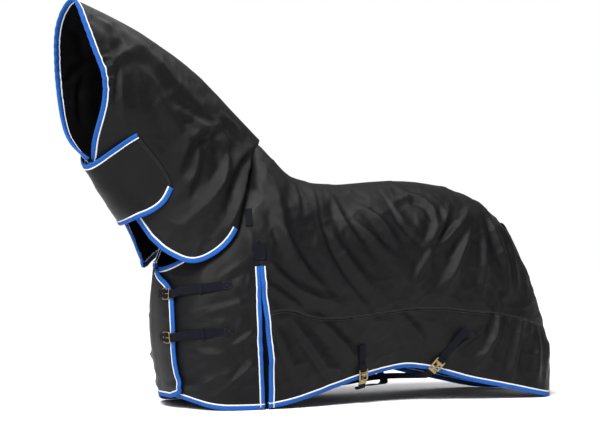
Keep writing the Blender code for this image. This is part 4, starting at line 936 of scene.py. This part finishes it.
def stitch_mesh(points, normals, run, half):
    """Small raised dashes along a line."""
    count = max(1, int(run[-1] / STITCH_PITCH))
    starts = (np.arange(count) + 0.25) * STITCH_PITCH
    verts = []
    faces = []
    for start in starts:
        rows = []
        for share, rise in ((0.0, -0.0001), (0.25, 0.0004), (0.75, 0.0004), (1.0, -0.0001)):
            place = min(start + share * STITCH_LENGTH, run[-1])
            rows.append([np.interp(place, run, points[:, k]) + rise * np.interp(place, run, normals[:, k])
                         for k in range(3)])
        rows = np.array(rows)
        n = unit(np.array([np.interp(start, run, normals[:, k]) for k in range(3)]))
        d = unit(rows[-1] - rows[0])
        across = unit(np.cross(n, d))
        base = len(verts)
        for row in rows:
            for turn in (0.0, 0.5, 1.0, 1.5):
                angle = turn * math.pi
                verts.append(row + half * (across * math.cos(angle) + n * math.sin(angle)))
        for i in range(3):
            for k in range(4):
                m = (k + 1) % 4
                row = base + 4 * i
                faces.append((row + k, row + m, row + 4 + m, row + 4 + k))
        faces.append((base + 3, base + 2, base + 1, base))
        faces.append((base + 12, base + 13, base + 14, base + 15))
    return verts, faces


class Stitching:
    """Collects stitch lines and makes them one piece."""

    def __init__(self):
        self.verts = []
        self.faces = []

    def line(self, points, normals, half=STITCH_HALF):
        verts, faces = stitch_mesh(points, normals, distances(points), half)
        base = len(self.verts)
        self.verts += verts
        self.faces += [tuple(i + base for i in f) for f in faces]

    def build(self, name, finish, body):
        piece = outward(make_piece(name, np.array(self.verts), self.faces, finish))
        if body:
            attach(piece, body)
        return piece


def bind(name, edge, depth, nodes, stitches, ride=True):
    """Blue tape round an edge, with a white trim beside it on both faces."""
    def swept(suffix, section, finish):
        rings = np.stack([edge.at(d, h) for d, h in section], axis=1)
        return sweep(name + suffix, rings, finish, edge.run)

    blue = swept("_blue", blue_section(depth), "blue")
    white = swept("_white", WHITE_SECTION, "white")
    inside = swept("_inside", [(d + 0.002, -depth - h) for d, h in WHITE_SECTION], "white")
    white = join_all(name + "_white", [white, inside])
    if ride:
        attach(blue, "rug")
        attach(white, "rug")
    if nodes:
        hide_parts(*nodes)
    stitches.line(edge.at(BLUE_WIDTH - 0.0026, 0.0021), edge.normals)
    return [blue, white]


# ---------------------------------------------------------------- body cloth
SLIT_TOP_V = 0.455
OFF_EDGE = ((0.0, 0.0), (0.06, 0.045), (0.12, 0.100), (0.20, 0.143), (0.30, 0.157), (0.50, 0.160),
            (0.72, 0.150), (0.85, 0.164), (0.94, 0.160), (1.0, 0.115))
NEAR_EDGE = 0.030
REAR_OPENING = ((0.0, 0.0), (0.1, 0.030), (0.3, 0.080), (0.6, 0.120), (1.0, 0.140))
SLIT_FRONT_GAP = ((0.0, 0.0), (0.6, 0.004), (1.0, 0.004))
SLIT_REAR_GAP = ((0.0, 0.0), (0.30, 0.012), (0.75, 0.030), (1.0, 0.020))
ROWS_TOP = 76
ROWS_MIDDLE = 40
ROWS_LOW = 52
FRONT_COLUMNS = 76
SHOULDER_COLUMNS = 18
BACK_COLUMNS = 230
TOP_SHARES = np.linspace(0.0, 1.0, ROWS_TOP)
MIDDLE_SHARES = np.linspace(1.0, 2.0, ROWS_MIDDLE)
LOW_SHARES = np.linspace(2.0, 3.0, ROWS_LOW)
BACK_SHARES = np.concatenate([np.linspace(0.0, 1.0, SHOULDER_COLUMNS),
                              np.linspace(1.0, 2.0, BACK_COLUMNS)[1:]])
PANEL_HEIGHT = 1.0
NEAR_CORNER = 0.085
OFF_CORNER = 0.045
SIDES = {-1: "near", 1: "off"}


def below_slit(pairs, v):
    """Share of the run from the slit's line to one of its edges, which is nothing above its top."""
    share = np.clip((v - SLIT_TOP_V) / (1.0 - SLIT_TOP_V), 0.0, 1.0)
    return np.where(v > SLIT_TOP_V + 1e-6, run_u(spline_value(pairs, share)), 0.0)


def row_v(share, w):
    """v of a row: 0 is the neckline, 1 the slit's top, 2 the seam and 3 the hem."""
    seam = spline_value(SEAM_LINE, np.abs(w))
    top = share * SLIT_TOP_V
    middle = SLIT_TOP_V + (share - 1.0) * (seam - SLIT_TOP_V)
    low = seam + (share - 2.0) * (1.0 - seam)
    return np.where(share <= 1.0, top, np.where(share <= 2.0, middle, low))


def front_w(share, v, side):
    first = -run_u(spline_value(OFF_EDGE, v)) if side > 0 else -run_u(NEAR_EDGE) + 0.0 * v
    return first + (SLIT_U - below_slit(SLIT_FRONT_GAP, v) - first) * share


def back_w(share, v, side):
    """share 0 to 1 is slit to withers, and 1 to 2 withers to the rear opening."""
    first = SLIT_U + below_slit(SLIT_REAR_GAP, v)
    last = 1.0 - run_u(spline_value(REAR_OPENING, v))
    to_withers = first + (WITHERS_U - first) * share
    to_opening = WITHERS_U + (last - WITHERS_U) * (share - 1.0)
    return np.where(share <= 1.0, to_withers, to_opening)


def solve_grid(columns_at, column_shares, row_shares, side):
    """w and v of a grid whose columns depend on v and whose rows depend on w."""
    share_c, share_r = np.meshgrid(column_shares, row_shares, indexing="ij")
    v = row_v(share_r, 0.3 + 0.0 * share_r)
    for _ in range(6):
        w = columns_at(share_c, v, side)
        v = row_v(share_r, w)
    return w, v


def round_corner(d1, d2, radius):
    """Bends the square corner of a grid round an arc.  d1 and d2 are distances from the two edges."""
    close = (d1 < radius) & (d2 < radius)
    x = np.where(close, 1.0 - d1 / radius, 0.0)
    y = np.where(close, 1.0 - d2 / radius, 0.0)
    new_x = x * np.sqrt(1.0 - y * y / 2.0)
    new_y = y * np.sqrt(1.0 - x * x / 2.0)
    return np.where(close, (1.0 - new_x) * radius, d1), np.where(close, (1.0 - new_y) * radius, d2)


def front_params(side):
    rows = np.concatenate([TOP_SHARES, MIDDLE_SHARES[1:], LOW_SHARES[1:]])
    w, v = solve_grid(front_w, np.linspace(0.0, 1.0, FRONT_COLUMNS), rows, side)
    edge = w[0]
    along = (w - edge[None]) * BODY_RUN
    up = (1.0 - v) * PANEL_HEIGHT
    new_along, new_up = round_corner(along, up, OFF_CORNER if side > 0 else NEAR_CORNER)
    return edge[None] + new_along / BODY_RUN, 1.0 - new_up / PANEL_HEIGHT


def metres_uv(w, v):
    return np.stack([w * BODY_RUN, v * PANEL_HEIGHT], axis=-1)


def unit_grid(rows, columns):
    return np.meshgrid(np.linspace(0.0, 1.0, rows), np.linspace(0.0, 1.0, columns), indexing="ij")


def every_second(*grids):
    return [grid[::2, ::2] for grid in grids]


def laid(surface, a, b, side):
    """Points of a grid on the surface, and their normals."""
    points = surface(a, b, side)
    return points, grid_normals(points, normal_of_base(surface, a, b, side))


def normal_of_base(surface, a, b, side):
    base = {"body_cloth": body_at, "neck_cloth": neck_at, "flap_cloth": flap_at, "tail_cloth": tail_at}
    return normal(base[surface.__name__], a, b, side)


def build_body():
    cover = Cloth()
    lining = Cloth()
    stitches = Stitching()
    for side, label in SIDES.items():
        wf, vf = front_params(side)
        pf, nf = laid(body_cloth, wf, vf, side)
        cover.add(pf, nf, metres_uv(wf, vf))
        lining.add(*every_second(pf, nf, metres_uv(wf, vf)))
        rows = np.concatenate([TOP_SHARES, MIDDLE_SHARES[1:]])
        wb, vb = solve_grid(back_w, BACK_SHARES, rows, side)
        pb, nb = laid(body_cloth, wb, vb, side)
        cover.add(pb, nb, metres_uv(wb, vb))
        wl, vl = solve_grid(back_w, BACK_SHARES, LOW_SHARES, side)
        pl, nl = laid(body_cloth, wl, vl, side)
        panel = Cloth().add(pl, nl, metres_uv(wl, vl))
        panel = panel.build("side_panel_" + label, 0.0, -SHELL, "shell")
        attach(panel, "rug")
        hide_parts("lower_panel_" + label)
        lining.add(*every_second(pb, nb, metres_uv(wb, vb)))
        lining.add(*every_second(pl, nl, metres_uv(wl, vl)))
        slit = ROWS_TOP + 2
        chest = np.concatenate([wf[0, 3:], wf[1:, -1]]), np.concatenate([vf[0, 3:], vf[1:, -1]])
        rear_slit = np.concatenate([wb[0, slit:], wl[0, 1:]]), np.concatenate([vb[0, slit:], vl[0, 1:]])
        in_front = wf[20, 60], vf[20, 60]
        in_back = wb[60, -10], vb[60, -10]
        in_panel = wl[120, 20], vl[120, 20]
        # Each edge's piece, its path, a point inward of it, and the CAD nodes that it stands for.
        edges = (
            ("chest_binding_", chest, in_front, ("chest_edge_binding_", "hem_binding_front_")),
            ("neckline_binding_", (wf[:-6, 0], vf[:-6, 0]), in_front, ("neckline_binding_",)),
            ("slit_front_binding_", (wf[-1, slit:-1], vf[-1, slit:-1]), in_front, ("slit_binding_front_",)),
            ("slit_rear_binding_", rear_slit, in_back, ("slit_binding_rear_",)),
            ("hem_binding_", (wl[:, -1], vl[:, -1]), in_panel, ("hem_binding_rear_",)),
            ("rear_binding_", (wl[-1, :-3], vl[-1, :-3]), in_panel, ("rear_edge_binding_",)),
        )
        made = []
        for name, path, inner, nodes in edges:
            edge = Edge(body_cloth, side, *path, *inner)
            made += bind(name + label, edge, LINING_LOW, [node + label for node in nodes], stitches)
        build_seam(wl, vl, side, label)
    cover = cover.build("body_cover", 0.0, -SHELL, "shell")
    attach(cover, "rug")
    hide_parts("outer_shell")
    inside = lining.build("inner_lining", -LINING_TOP, -LINING_LOW, "lining")
    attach(inside, "rug")
    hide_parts("body_lining")
    stitches.build("body_tape_stitching", "blue_thread", "rug")


def build_seam(wl, vl, side, label):
    """Three rows of stitches along the seam over the side panel, two above it and one below."""
    rows = Stitching()
    for drop in (-0.0085, -0.0035, 0.0035):
        w = wl[2:-1, 0]
        v = vl[2:-1, 0] + drop / PANEL_HEIGHT
        n = normal(body_cloth, w, v, side)
        rows.line(body_cloth(w, v, side) + n * 0.0003, n, SEAM_STITCH_HALF)
    rows.build("seam_stitching_" + label, "thread", "rug")


# ---------------------------------------------------------------- neck cover
NECK_S_ROWS = 130
NECK_T_COLUMNS = 110
NECK_LENGTH = 0.95
NECK_DEPTH = 0.80
NECK_CORNER = 0.05


def neck_params():
    s, t = unit_grid(NECK_S_ROWS, NECK_T_COLUMNS)
    d1, d2 = round_corner((1.0 - s) * NECK_LENGTH, (1.0 - t) * NECK_DEPTH, NECK_CORNER)
    return 1.0 - d1 / NECK_LENGTH, 1.0 - d2 / NECK_DEPTH


def build_neck():
    cover = Cloth()
    lining = Cloth()
    stitches = Stitching()
    made = []
    for side, label in SIDES.items():
        s, t = neck_params()
        p, n = laid(neck_cloth, s, t, side)
        uv = np.stack([s * NECK_LENGTH, t * NECK_DEPTH], axis=-1)
        cover.add(p, n, uv)
        lining.add(*every_second(p, n, uv))
        half = NECK_T_COLUMNS // 2
        path = [np.concatenate([grid[6:, -1], grid[-1, half:-1][::-1]]) for grid in (s, t)]
        made += bind("neck_binding_" + label, Edge(neck_cloth, side, *path, 0.85, 0.80), LINING_LOW,
                     ["neck_front_binding_" + label, "neck_lower_binding_" + label], stitches)
        t_face = np.linspace(0.0, 1.0, 120)
        edge = Edge(neck_cloth, side, 0.0 * t_face, t_face, 0.2, 0.5)
        made += bind("face_binding_" + label, edge, LINING_LOW, [], stitches)
    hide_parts("face_opening_binding")
    cover = cover.build("neck_cover", 0.0, -SHELL, "shell")
    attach(cover, "rug")
    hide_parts("neck_shell")
    inside = lining.build("neck_inside", -LINING_TOP, -LINING_LOW, "lining")
    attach(inside, "rug")
    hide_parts("neck_lining")
    stitches.build("neck_tape_stitching", "blue_thread", "rug")


# ---------------------------------------------------------------- flaps
FLAP_LENGTH = 0.62
FLAP_DEPTH = 0.36
FLAP_FOLD_HALF = 0.07
TAIL_LENGTH = 0.46
TAIL_WIDTH = 0.19
TAIL_CORNER = 0.04


def across_fold():
    """Points on the throat flap before and after its fold."""
    start = FLAP.at(FLAP_HINGE - FLAP_FOLD_HALF, 0.5)
    end = FLAP.at(FLAP_HINGE + FLAP_FOLD_HALF, 0.5)
    return tuple(start.ravel()), tuple(end.ravel())


def build_throat_flap():
    u, p = unit_grid(90, 60)
    points, normals = laid(flap_cloth, u, p, -1)
    flap = Cloth().add(points, normals, np.stack([u * FLAP_LENGTH, p * FLAP_DEPTH], axis=-1))
    flap = flap.build("throat_flap_cloth", 0.0, -SHELL, "shell")
    stitches = Stitching()
    black = Stitching()
    made = []
    for label, at in (("top", 0.0), ("low", 1.0)):
        line = np.linspace(0.004, 1.0, 100)
        edge = Edge(flap_cloth, -1, line, at + 0.0 * line, 0.5, 0.5)
        made += bind("flap_binding_" + label, edge, SHELL, [], stitches, ride=False)
    for inset in (0.012, 0.028):
        line = np.linspace(0.075, 0.925, 60)
        a = inset + 0.0 * line
        n = normal(flap_cloth, a, line, -1)
        black.line(flap_cloth(a, line, -1) + n * 0.0003, n, SEAM_STITCH_HALF)
    thread = stitches.build("flap_tape_stitching", "blue_thread", None)
    sewn = black.build("flap_sewing", "thread", None)
    start, end = across_fold()
    for piece in (flap, thread, sewn, *made):
        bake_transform(piece)
    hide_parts("throat_flap_fixed", "throat_flap_tab")
    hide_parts("throat_flap_fixed_binding_top", "throat_flap_tab_binding_top")
    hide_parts("throat_flap_fixed_binding_low", "throat_flap_tab_binding_low")


def build_tail_flap():
    p, q = unit_grid(70, 60)
    d1, d2 = round_corner((1.0 - p) * TAIL_LENGTH, np.minimum(q, 1.0 - q) * TAIL_WIDTH, TAIL_CORNER)
    p = 1.0 - d1 / TAIL_LENGTH
    q = np.where(q < 0.5, d2 / TAIL_WIDTH, 1.0 - d2 / TAIL_WIDTH)
    points, normals = laid(tail_cloth, p, q, -1)
    flap = Cloth().add(points, normals, np.stack([p * TAIL_LENGTH, q * TAIL_WIDTH], axis=-1))
    flap = flap.build("tail_cover", 0.0, -SHELL, "shell")
    stitches = Stitching()
    half = len(p) // 2
    path = [np.concatenate([grid[half:, 0], grid[-1, 1:], grid[half:, -1][::-1][1:]]) for grid in (p, q)]
    edge = Edge(tail_cloth, -1, *path, 0.6, 0.5)
    made = bind("tail_binding", edge, SHELL, [], stitches, ride=False)
    thread = stitches.build("tail_tape_stitching", "blue_thread", None)
    for piece in (flap, thread, *made):
        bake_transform(piece)
    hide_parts("tail_flap")
    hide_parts("tail_flap_binding")


# ---------------------------------------------------------------- small cloth pieces and straps
def v_for_height(w, z, side):
    """v of the point on the body at w whose height is z, by halving."""
    w = np.asarray(w, dtype=float)
    low = np.zeros(np.broadcast(w, z).shape)
    high = np.ones_like(low)
    for _ in range(30):
        mid = 0.5 * (low + high)
        above = body_at(w + 0.0 * mid, mid, side)[..., 2] > z
        low = np.where(above, mid, low)
        high = np.where(above, high, mid)
    return 0.5 * (low + high)


def on_body(w, z, side, lift, surface=body_at):
    v = v_for_height(w, z, side)
    n = normal(surface, w, v, side)
    return surface(w, v, side) + n * np.asarray(lift)[..., None], n


GUSSET_TOP = 0.62
GUSSET_LOW = 0.022
GUSSET_TUCK = 0.050


def build_gussets():
    for side, label in SIDES.items():
        z = np.linspace(GUSSET_TOP, GUSSET_LOW, 60)
        share, z = np.meshgrid(np.linspace(0.0, 1.0, 16), z, indexing="ij")
        v = v_for_height(SLIT_U + 0.0 * z, z, side)
        first = SLIT_U - run_u(GUSSET_TUCK)
        w = first + (below_slit(SLIT_REAR_GAP, v) + 2.0 * run_u(GUSSET_TUCK)) * share
        pleat = 0.0040 * np.sin(share * math.pi * 3.0) * smooth((GUSSET_TOP - z) / 0.2)
        points, normals = on_body(w, z, side, -0.0125 + pleat)
        piece = Cloth().add(points, normals, np.stack([w * BODY_RUN, z], axis=-1))
        piece = piece.build("slit_gusset_" + label, 0.0, -0.0025, "lining")
        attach(piece, "rug")
        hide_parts("gusset_" + label)


# Webbing section with rounded edges: share of the width, and share of the thickness.
WEBBING_SECTION = ((0.0, 0.25), (0.03, 0.9), (0.09, 1.0), (0.5, 1.06), (0.91, 1.0), (0.97, 0.9),
                   (1.0, 0.25), (0.97, 0.02), (0.5, 0.0), (0.03, 0.02))


def strap_rings(left, right, normals):
    """Rings of a strap, from rows of its two edges."""
    rings = []
    for share, height in WEBBING_SECTION:
        rings.append(left + (right - left) * share + normals * (WEBBING * height))
    return np.stack(rings, axis=1)


# Each buckle's name, its height, and the height of its billet's sewn end.
BUCKLES = (("upper", 0.500, 0.545), ("lower", 0.314, 0.345))
BUCKLE_W = 0.100
BILLET_SEWN_W = 0.440
BUCKLE_LENGTH = 0.047
BUCKLE_HALF = 0.0235
BUCKLE_WIRE = 0.0026
BUCKLE_CORNER = 0.009
BUCKLE_LIFT = OVERLAP_LIFT + 0.0032
BAR_HEIGHT = 0.0062
TUBE_SIDES = 12
PRONG_SIDES = 10
# The billet's distance back over the cloth from the middle of the chest and its height over the body,
# and then its end in the buckle's own frame, as x and z.
BILLET_SPOTS = ((BILLET_SEWN_W, 0.0022), (0.405, 0.0022), (0.370, 0.0030), (0.335, 0.0050), (0.300, 0.0054),
                (0.265, 0.0060), (0.232, 0.0095), (0.202, 0.0140))
BILLET_END = ((0.062, -0.0006), (0.052, 0.0), (0.0425, 0.0003), (0.034, 0.0068), (0.026, 0.0090),
              (0.016, 0.0092), (0.010, 0.0086))
BILLET_END_HALF = 0.0188
# Numbers of the corners that each line of a box stitch joins.
BOX_STITCH = ((0, 1), (1, 2), (2, 3), (3, 0), (0, 2), (1, 3))


def frame_on_body(w, z, side, lift):
    """Matrix of a frame on the body: x to the rear, z outward."""
    point, n = on_body(w, z, side, lift)
    ahead = on_body(w + run_u(0.01), z, side, lift)[0] - on_body(w - run_u(0.01), z, side, lift)[0]
    x = unit(ahead - n * np.dot(ahead, n))
    matrix = np.eye(4)
    matrix[:3] = np.stack([x, np.cross(n, x), n, point], axis=1)
    return matrix


def moved(matrix, points):
    return np.asarray(points, dtype=float) @ matrix[:3, :3].T + matrix[:3, 3]


def at_bar_of(base):
    """The buckle's frame, raised to its bar."""
    step = np.eye(4)
    step[2, 3] = BAR_HEIGHT
    return base @ step


def rounded_rectangle(half_x, half_y, radius, steps, centre_x):
    points = []
    for k, (sx, sy) in enumerate(((1, 1), (-1, 1), (-1, -1), (1, -1))):
        for i in range(steps + 1):
            angle = math.pi / 2 * (k + i / steps)
            points.append((centre_x + sx * (half_x - radius) + radius * math.cos(angle),
                           sy * (half_y - radius) + radius * math.sin(angle), 0.0))
    return np.array(points)


def closed_tube(path, radius):
    """Round bar along a closed level path in local space."""
    n = len(path)
    tangent = unit(np.roll(path, -1, axis=0) - np.roll(path, 1, axis=0))
    side = unit(np.cross(np.array((0.0, 0.0, 1.0)), tangent))
    top = np.cross(tangent, side)
    rings = []
    for k in range(TUBE_SIDES):
        angle = 2 * math.pi * k / TUBE_SIDES
        rings.append(path + (side * math.cos(angle) + top * math.sin(angle)) * radius)
    faces = []
    for i in range(n):
        for k in range(TUBE_SIDES):
            m = (k + 1) % TUBE_SIDES
            j = (i + 1) % n
            faces.append((i * TUBE_SIDES + k, i * TUBE_SIDES + m, j * TUBE_SIDES + m, j * TUBE_SIDES + k))
    return np.stack(rings, axis=1).reshape(-1, 3), faces


def build_billet(label, z_buckle, z_sewn):
    left = []
    right = []
    for metres, lift in BILLET_SPOTS:
        share = (BILLET_SEWN_W - metres) / (BILLET_SEWN_W - BUCKLE_W)
        z = z_sewn + (z_buckle - z_sewn) * share
        w = run_u(metres)
        left.append(on_body(w, z + WEBBING_WIDTH / 2, -1, lift)[0])
        right.append(on_body(w, z - WEBBING_WIDTH / 2, -1, lift)[0])
    base = frame_on_body(run_u(BUCKLE_W), z_buckle, -1, BUCKLE_LIFT)
    for x, z in BILLET_END:
        left.append(moved(base, (x, BILLET_END_HALF, z)))
        right.append(moved(base, (x, -BILLET_END_HALF, z)))
    left = smooth_line(left, 90)
    right = smooth_line(right, 90)
    run = unit(np.gradient(0.5 * (left + right), axis=0))
    n = unit(np.cross(right - left, run))
    outward_way = np.sign(np.einsum("ij,ij->i", n, np.broadcast_to(base[:3, 2], n.shape)))
    n = n * outward_way[:, None]
    strap = sweep("billet_strap_" + label, strap_rings(left, right, n), "webbing")
    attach(strap, "rug")
    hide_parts("billet_" + label)
    stitches = Stitching()
    top = n[2] * (WEBBING + 0.0002)
    d = unit(left[6] - left[0])
    c = unit(right[0] - left[0])
    far = WEBBING_WIDTH - 0.004
    box = ((0.003, 0.004), (0.040, 0.004), (0.040, far), (0.003, far))
    corners = [left[0] + top + d * a + c * b for a, b in box]
    for a, b in BOX_STITCH:
        points = np.linspace(corners[a], corners[b], 12)
        stitches.line(points, np.broadcast_to(n[2], points.shape))
    stitches.build("billet_stitching_" + label, "thread", "rug")


def build_buckle(label, z_buckle):
    at_bar = at_bar_of(frame_on_body(run_u(BUCKLE_W), z_buckle, -1, BUCKLE_LIFT))
    half = BUCKLE_LENGTH / 2
    verts, faces = closed_tube(rounded_rectangle(half, BUCKLE_HALF, BUCKLE_CORNER, 8, half), BUCKLE_WIRE)
    ring = outward(make_piece("buckle_ring_" + label, moved(at_bar, verts), faces, "brass"))
    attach(ring, "buckle_%s_frame" % label)
    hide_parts("buckle_frame_" + label)
    path = [(0.0042 * math.cos(a), 0.0, 0.0042 * math.sin(a)) for a in np.linspace(-2.6, 0.9, 14)]
    path += [(0.012, 0.0, 0.0036), (0.022, 0.0, 0.0040), (0.034, 0.0, 0.0046), (0.044, 0.0, 0.0046),
             (0.0505, 0.0, 0.0042)]
    radii = [0.0010] * 13 + [0.0013, 0.0015, 0.0015, 0.0015, 0.0014, 0.0008]
    path = np.array(path)
    tangent = unit(np.gradient(path, axis=0))
    side = np.array((0.0, 1.0, 0.0))
    rings = []
    for k in range(PRONG_SIDES):
        angle = 2 * math.pi * k / PRONG_SIDES
        rings.append(path + np.asarray(radii)[:, None] * (side * 1.5 * math.cos(angle) +
                                                          np.cross(tangent, side) * math.sin(angle)))
    prong = sweep("prong_" + label, moved(at_bar, np.stack(rings, axis=1)), "brass")
    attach(prong, "buckle_%s_prong" % label)
    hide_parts("buckle_prong_" + label)


def build_patches():
    """Pointed webbing patch at each slit's top, and the tab at the neck's rear edge."""
    for side, label in SIDES.items():
        w = SLIT_U + run_u(np.linspace(-0.034, 0.034, 25))
        share = np.abs(np.linspace(-1.0, 1.0, 25))
        high = 0.748 - 0.026 * share
        low = np.full(25, 0.648)
        a, n = on_body(w, low, side, 0.0034, body_cloth)
        b, _ = on_body(w, high, side, 0.0034, body_cloth)
        patch = sweep("slit_patch_cloth_" + label, strap_rings(a, b, n), "webbing")
        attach(patch, "rug")
        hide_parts("slit_patch_" + label)
        stitches = Stitching()
        rim = slice(2, -2)
        for up in (1.0 - 0.004 / 0.1, 1.0 - 0.010 / 0.1, 0.06):
            stitches.line(a[rim] + (b - a)[rim] * up + n[rim] * (WEBBING + 0.0003), n[rim])
        stitches.build("slit_patch_stitching_" + label, "thread", "rug")
        w = SLIT_U - run_u(0.052) + run_u(np.linspace(-0.023, 0.023, 12))
        a, n = on_body(w, np.full(12, 0.795), side, 0.0030, body_cloth)
        b, _ = on_body(w, np.full(12, 0.872), side, 0.0030, body_cloth)
        tab = sweep("neck_tab_" + label, strap_rings(a, b, n), "webbing")
        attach(tab, "rug")
        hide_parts("neck_strap_" + label)


def finish_nodes():
    """Materials for the CAD nodes that are shown as they are."""
    finishes = {
        "keeper": "webbing_object", "buckle_tab": "webbing_object", "surcingle_tab": "webbing_object",
        "surcingle_strap": "webbing_object", "t_hook": "brass", "t_lock_plate": "brass",
        "hook_strip": "pile", "loop_strip": "pile",
    }
    for name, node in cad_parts.items():
        for start, finish in finishes.items():
            if name.startswith(start):
                node.data.materials.clear()
                node.data.materials.append(MATERIALS[finish])


def main():
    build_camera()
    build_stage()
    build_body()
    build_neck()
    build_throat_flap()
    build_tail_flap()
    build_gussets()
    build_patches()
    for label, z_buckle, z_sewn in BUCKLES:
        build_billet(label, z_buckle, z_sewn)
        build_buckle(label, z_buckle)
    finish_nodes()


main()
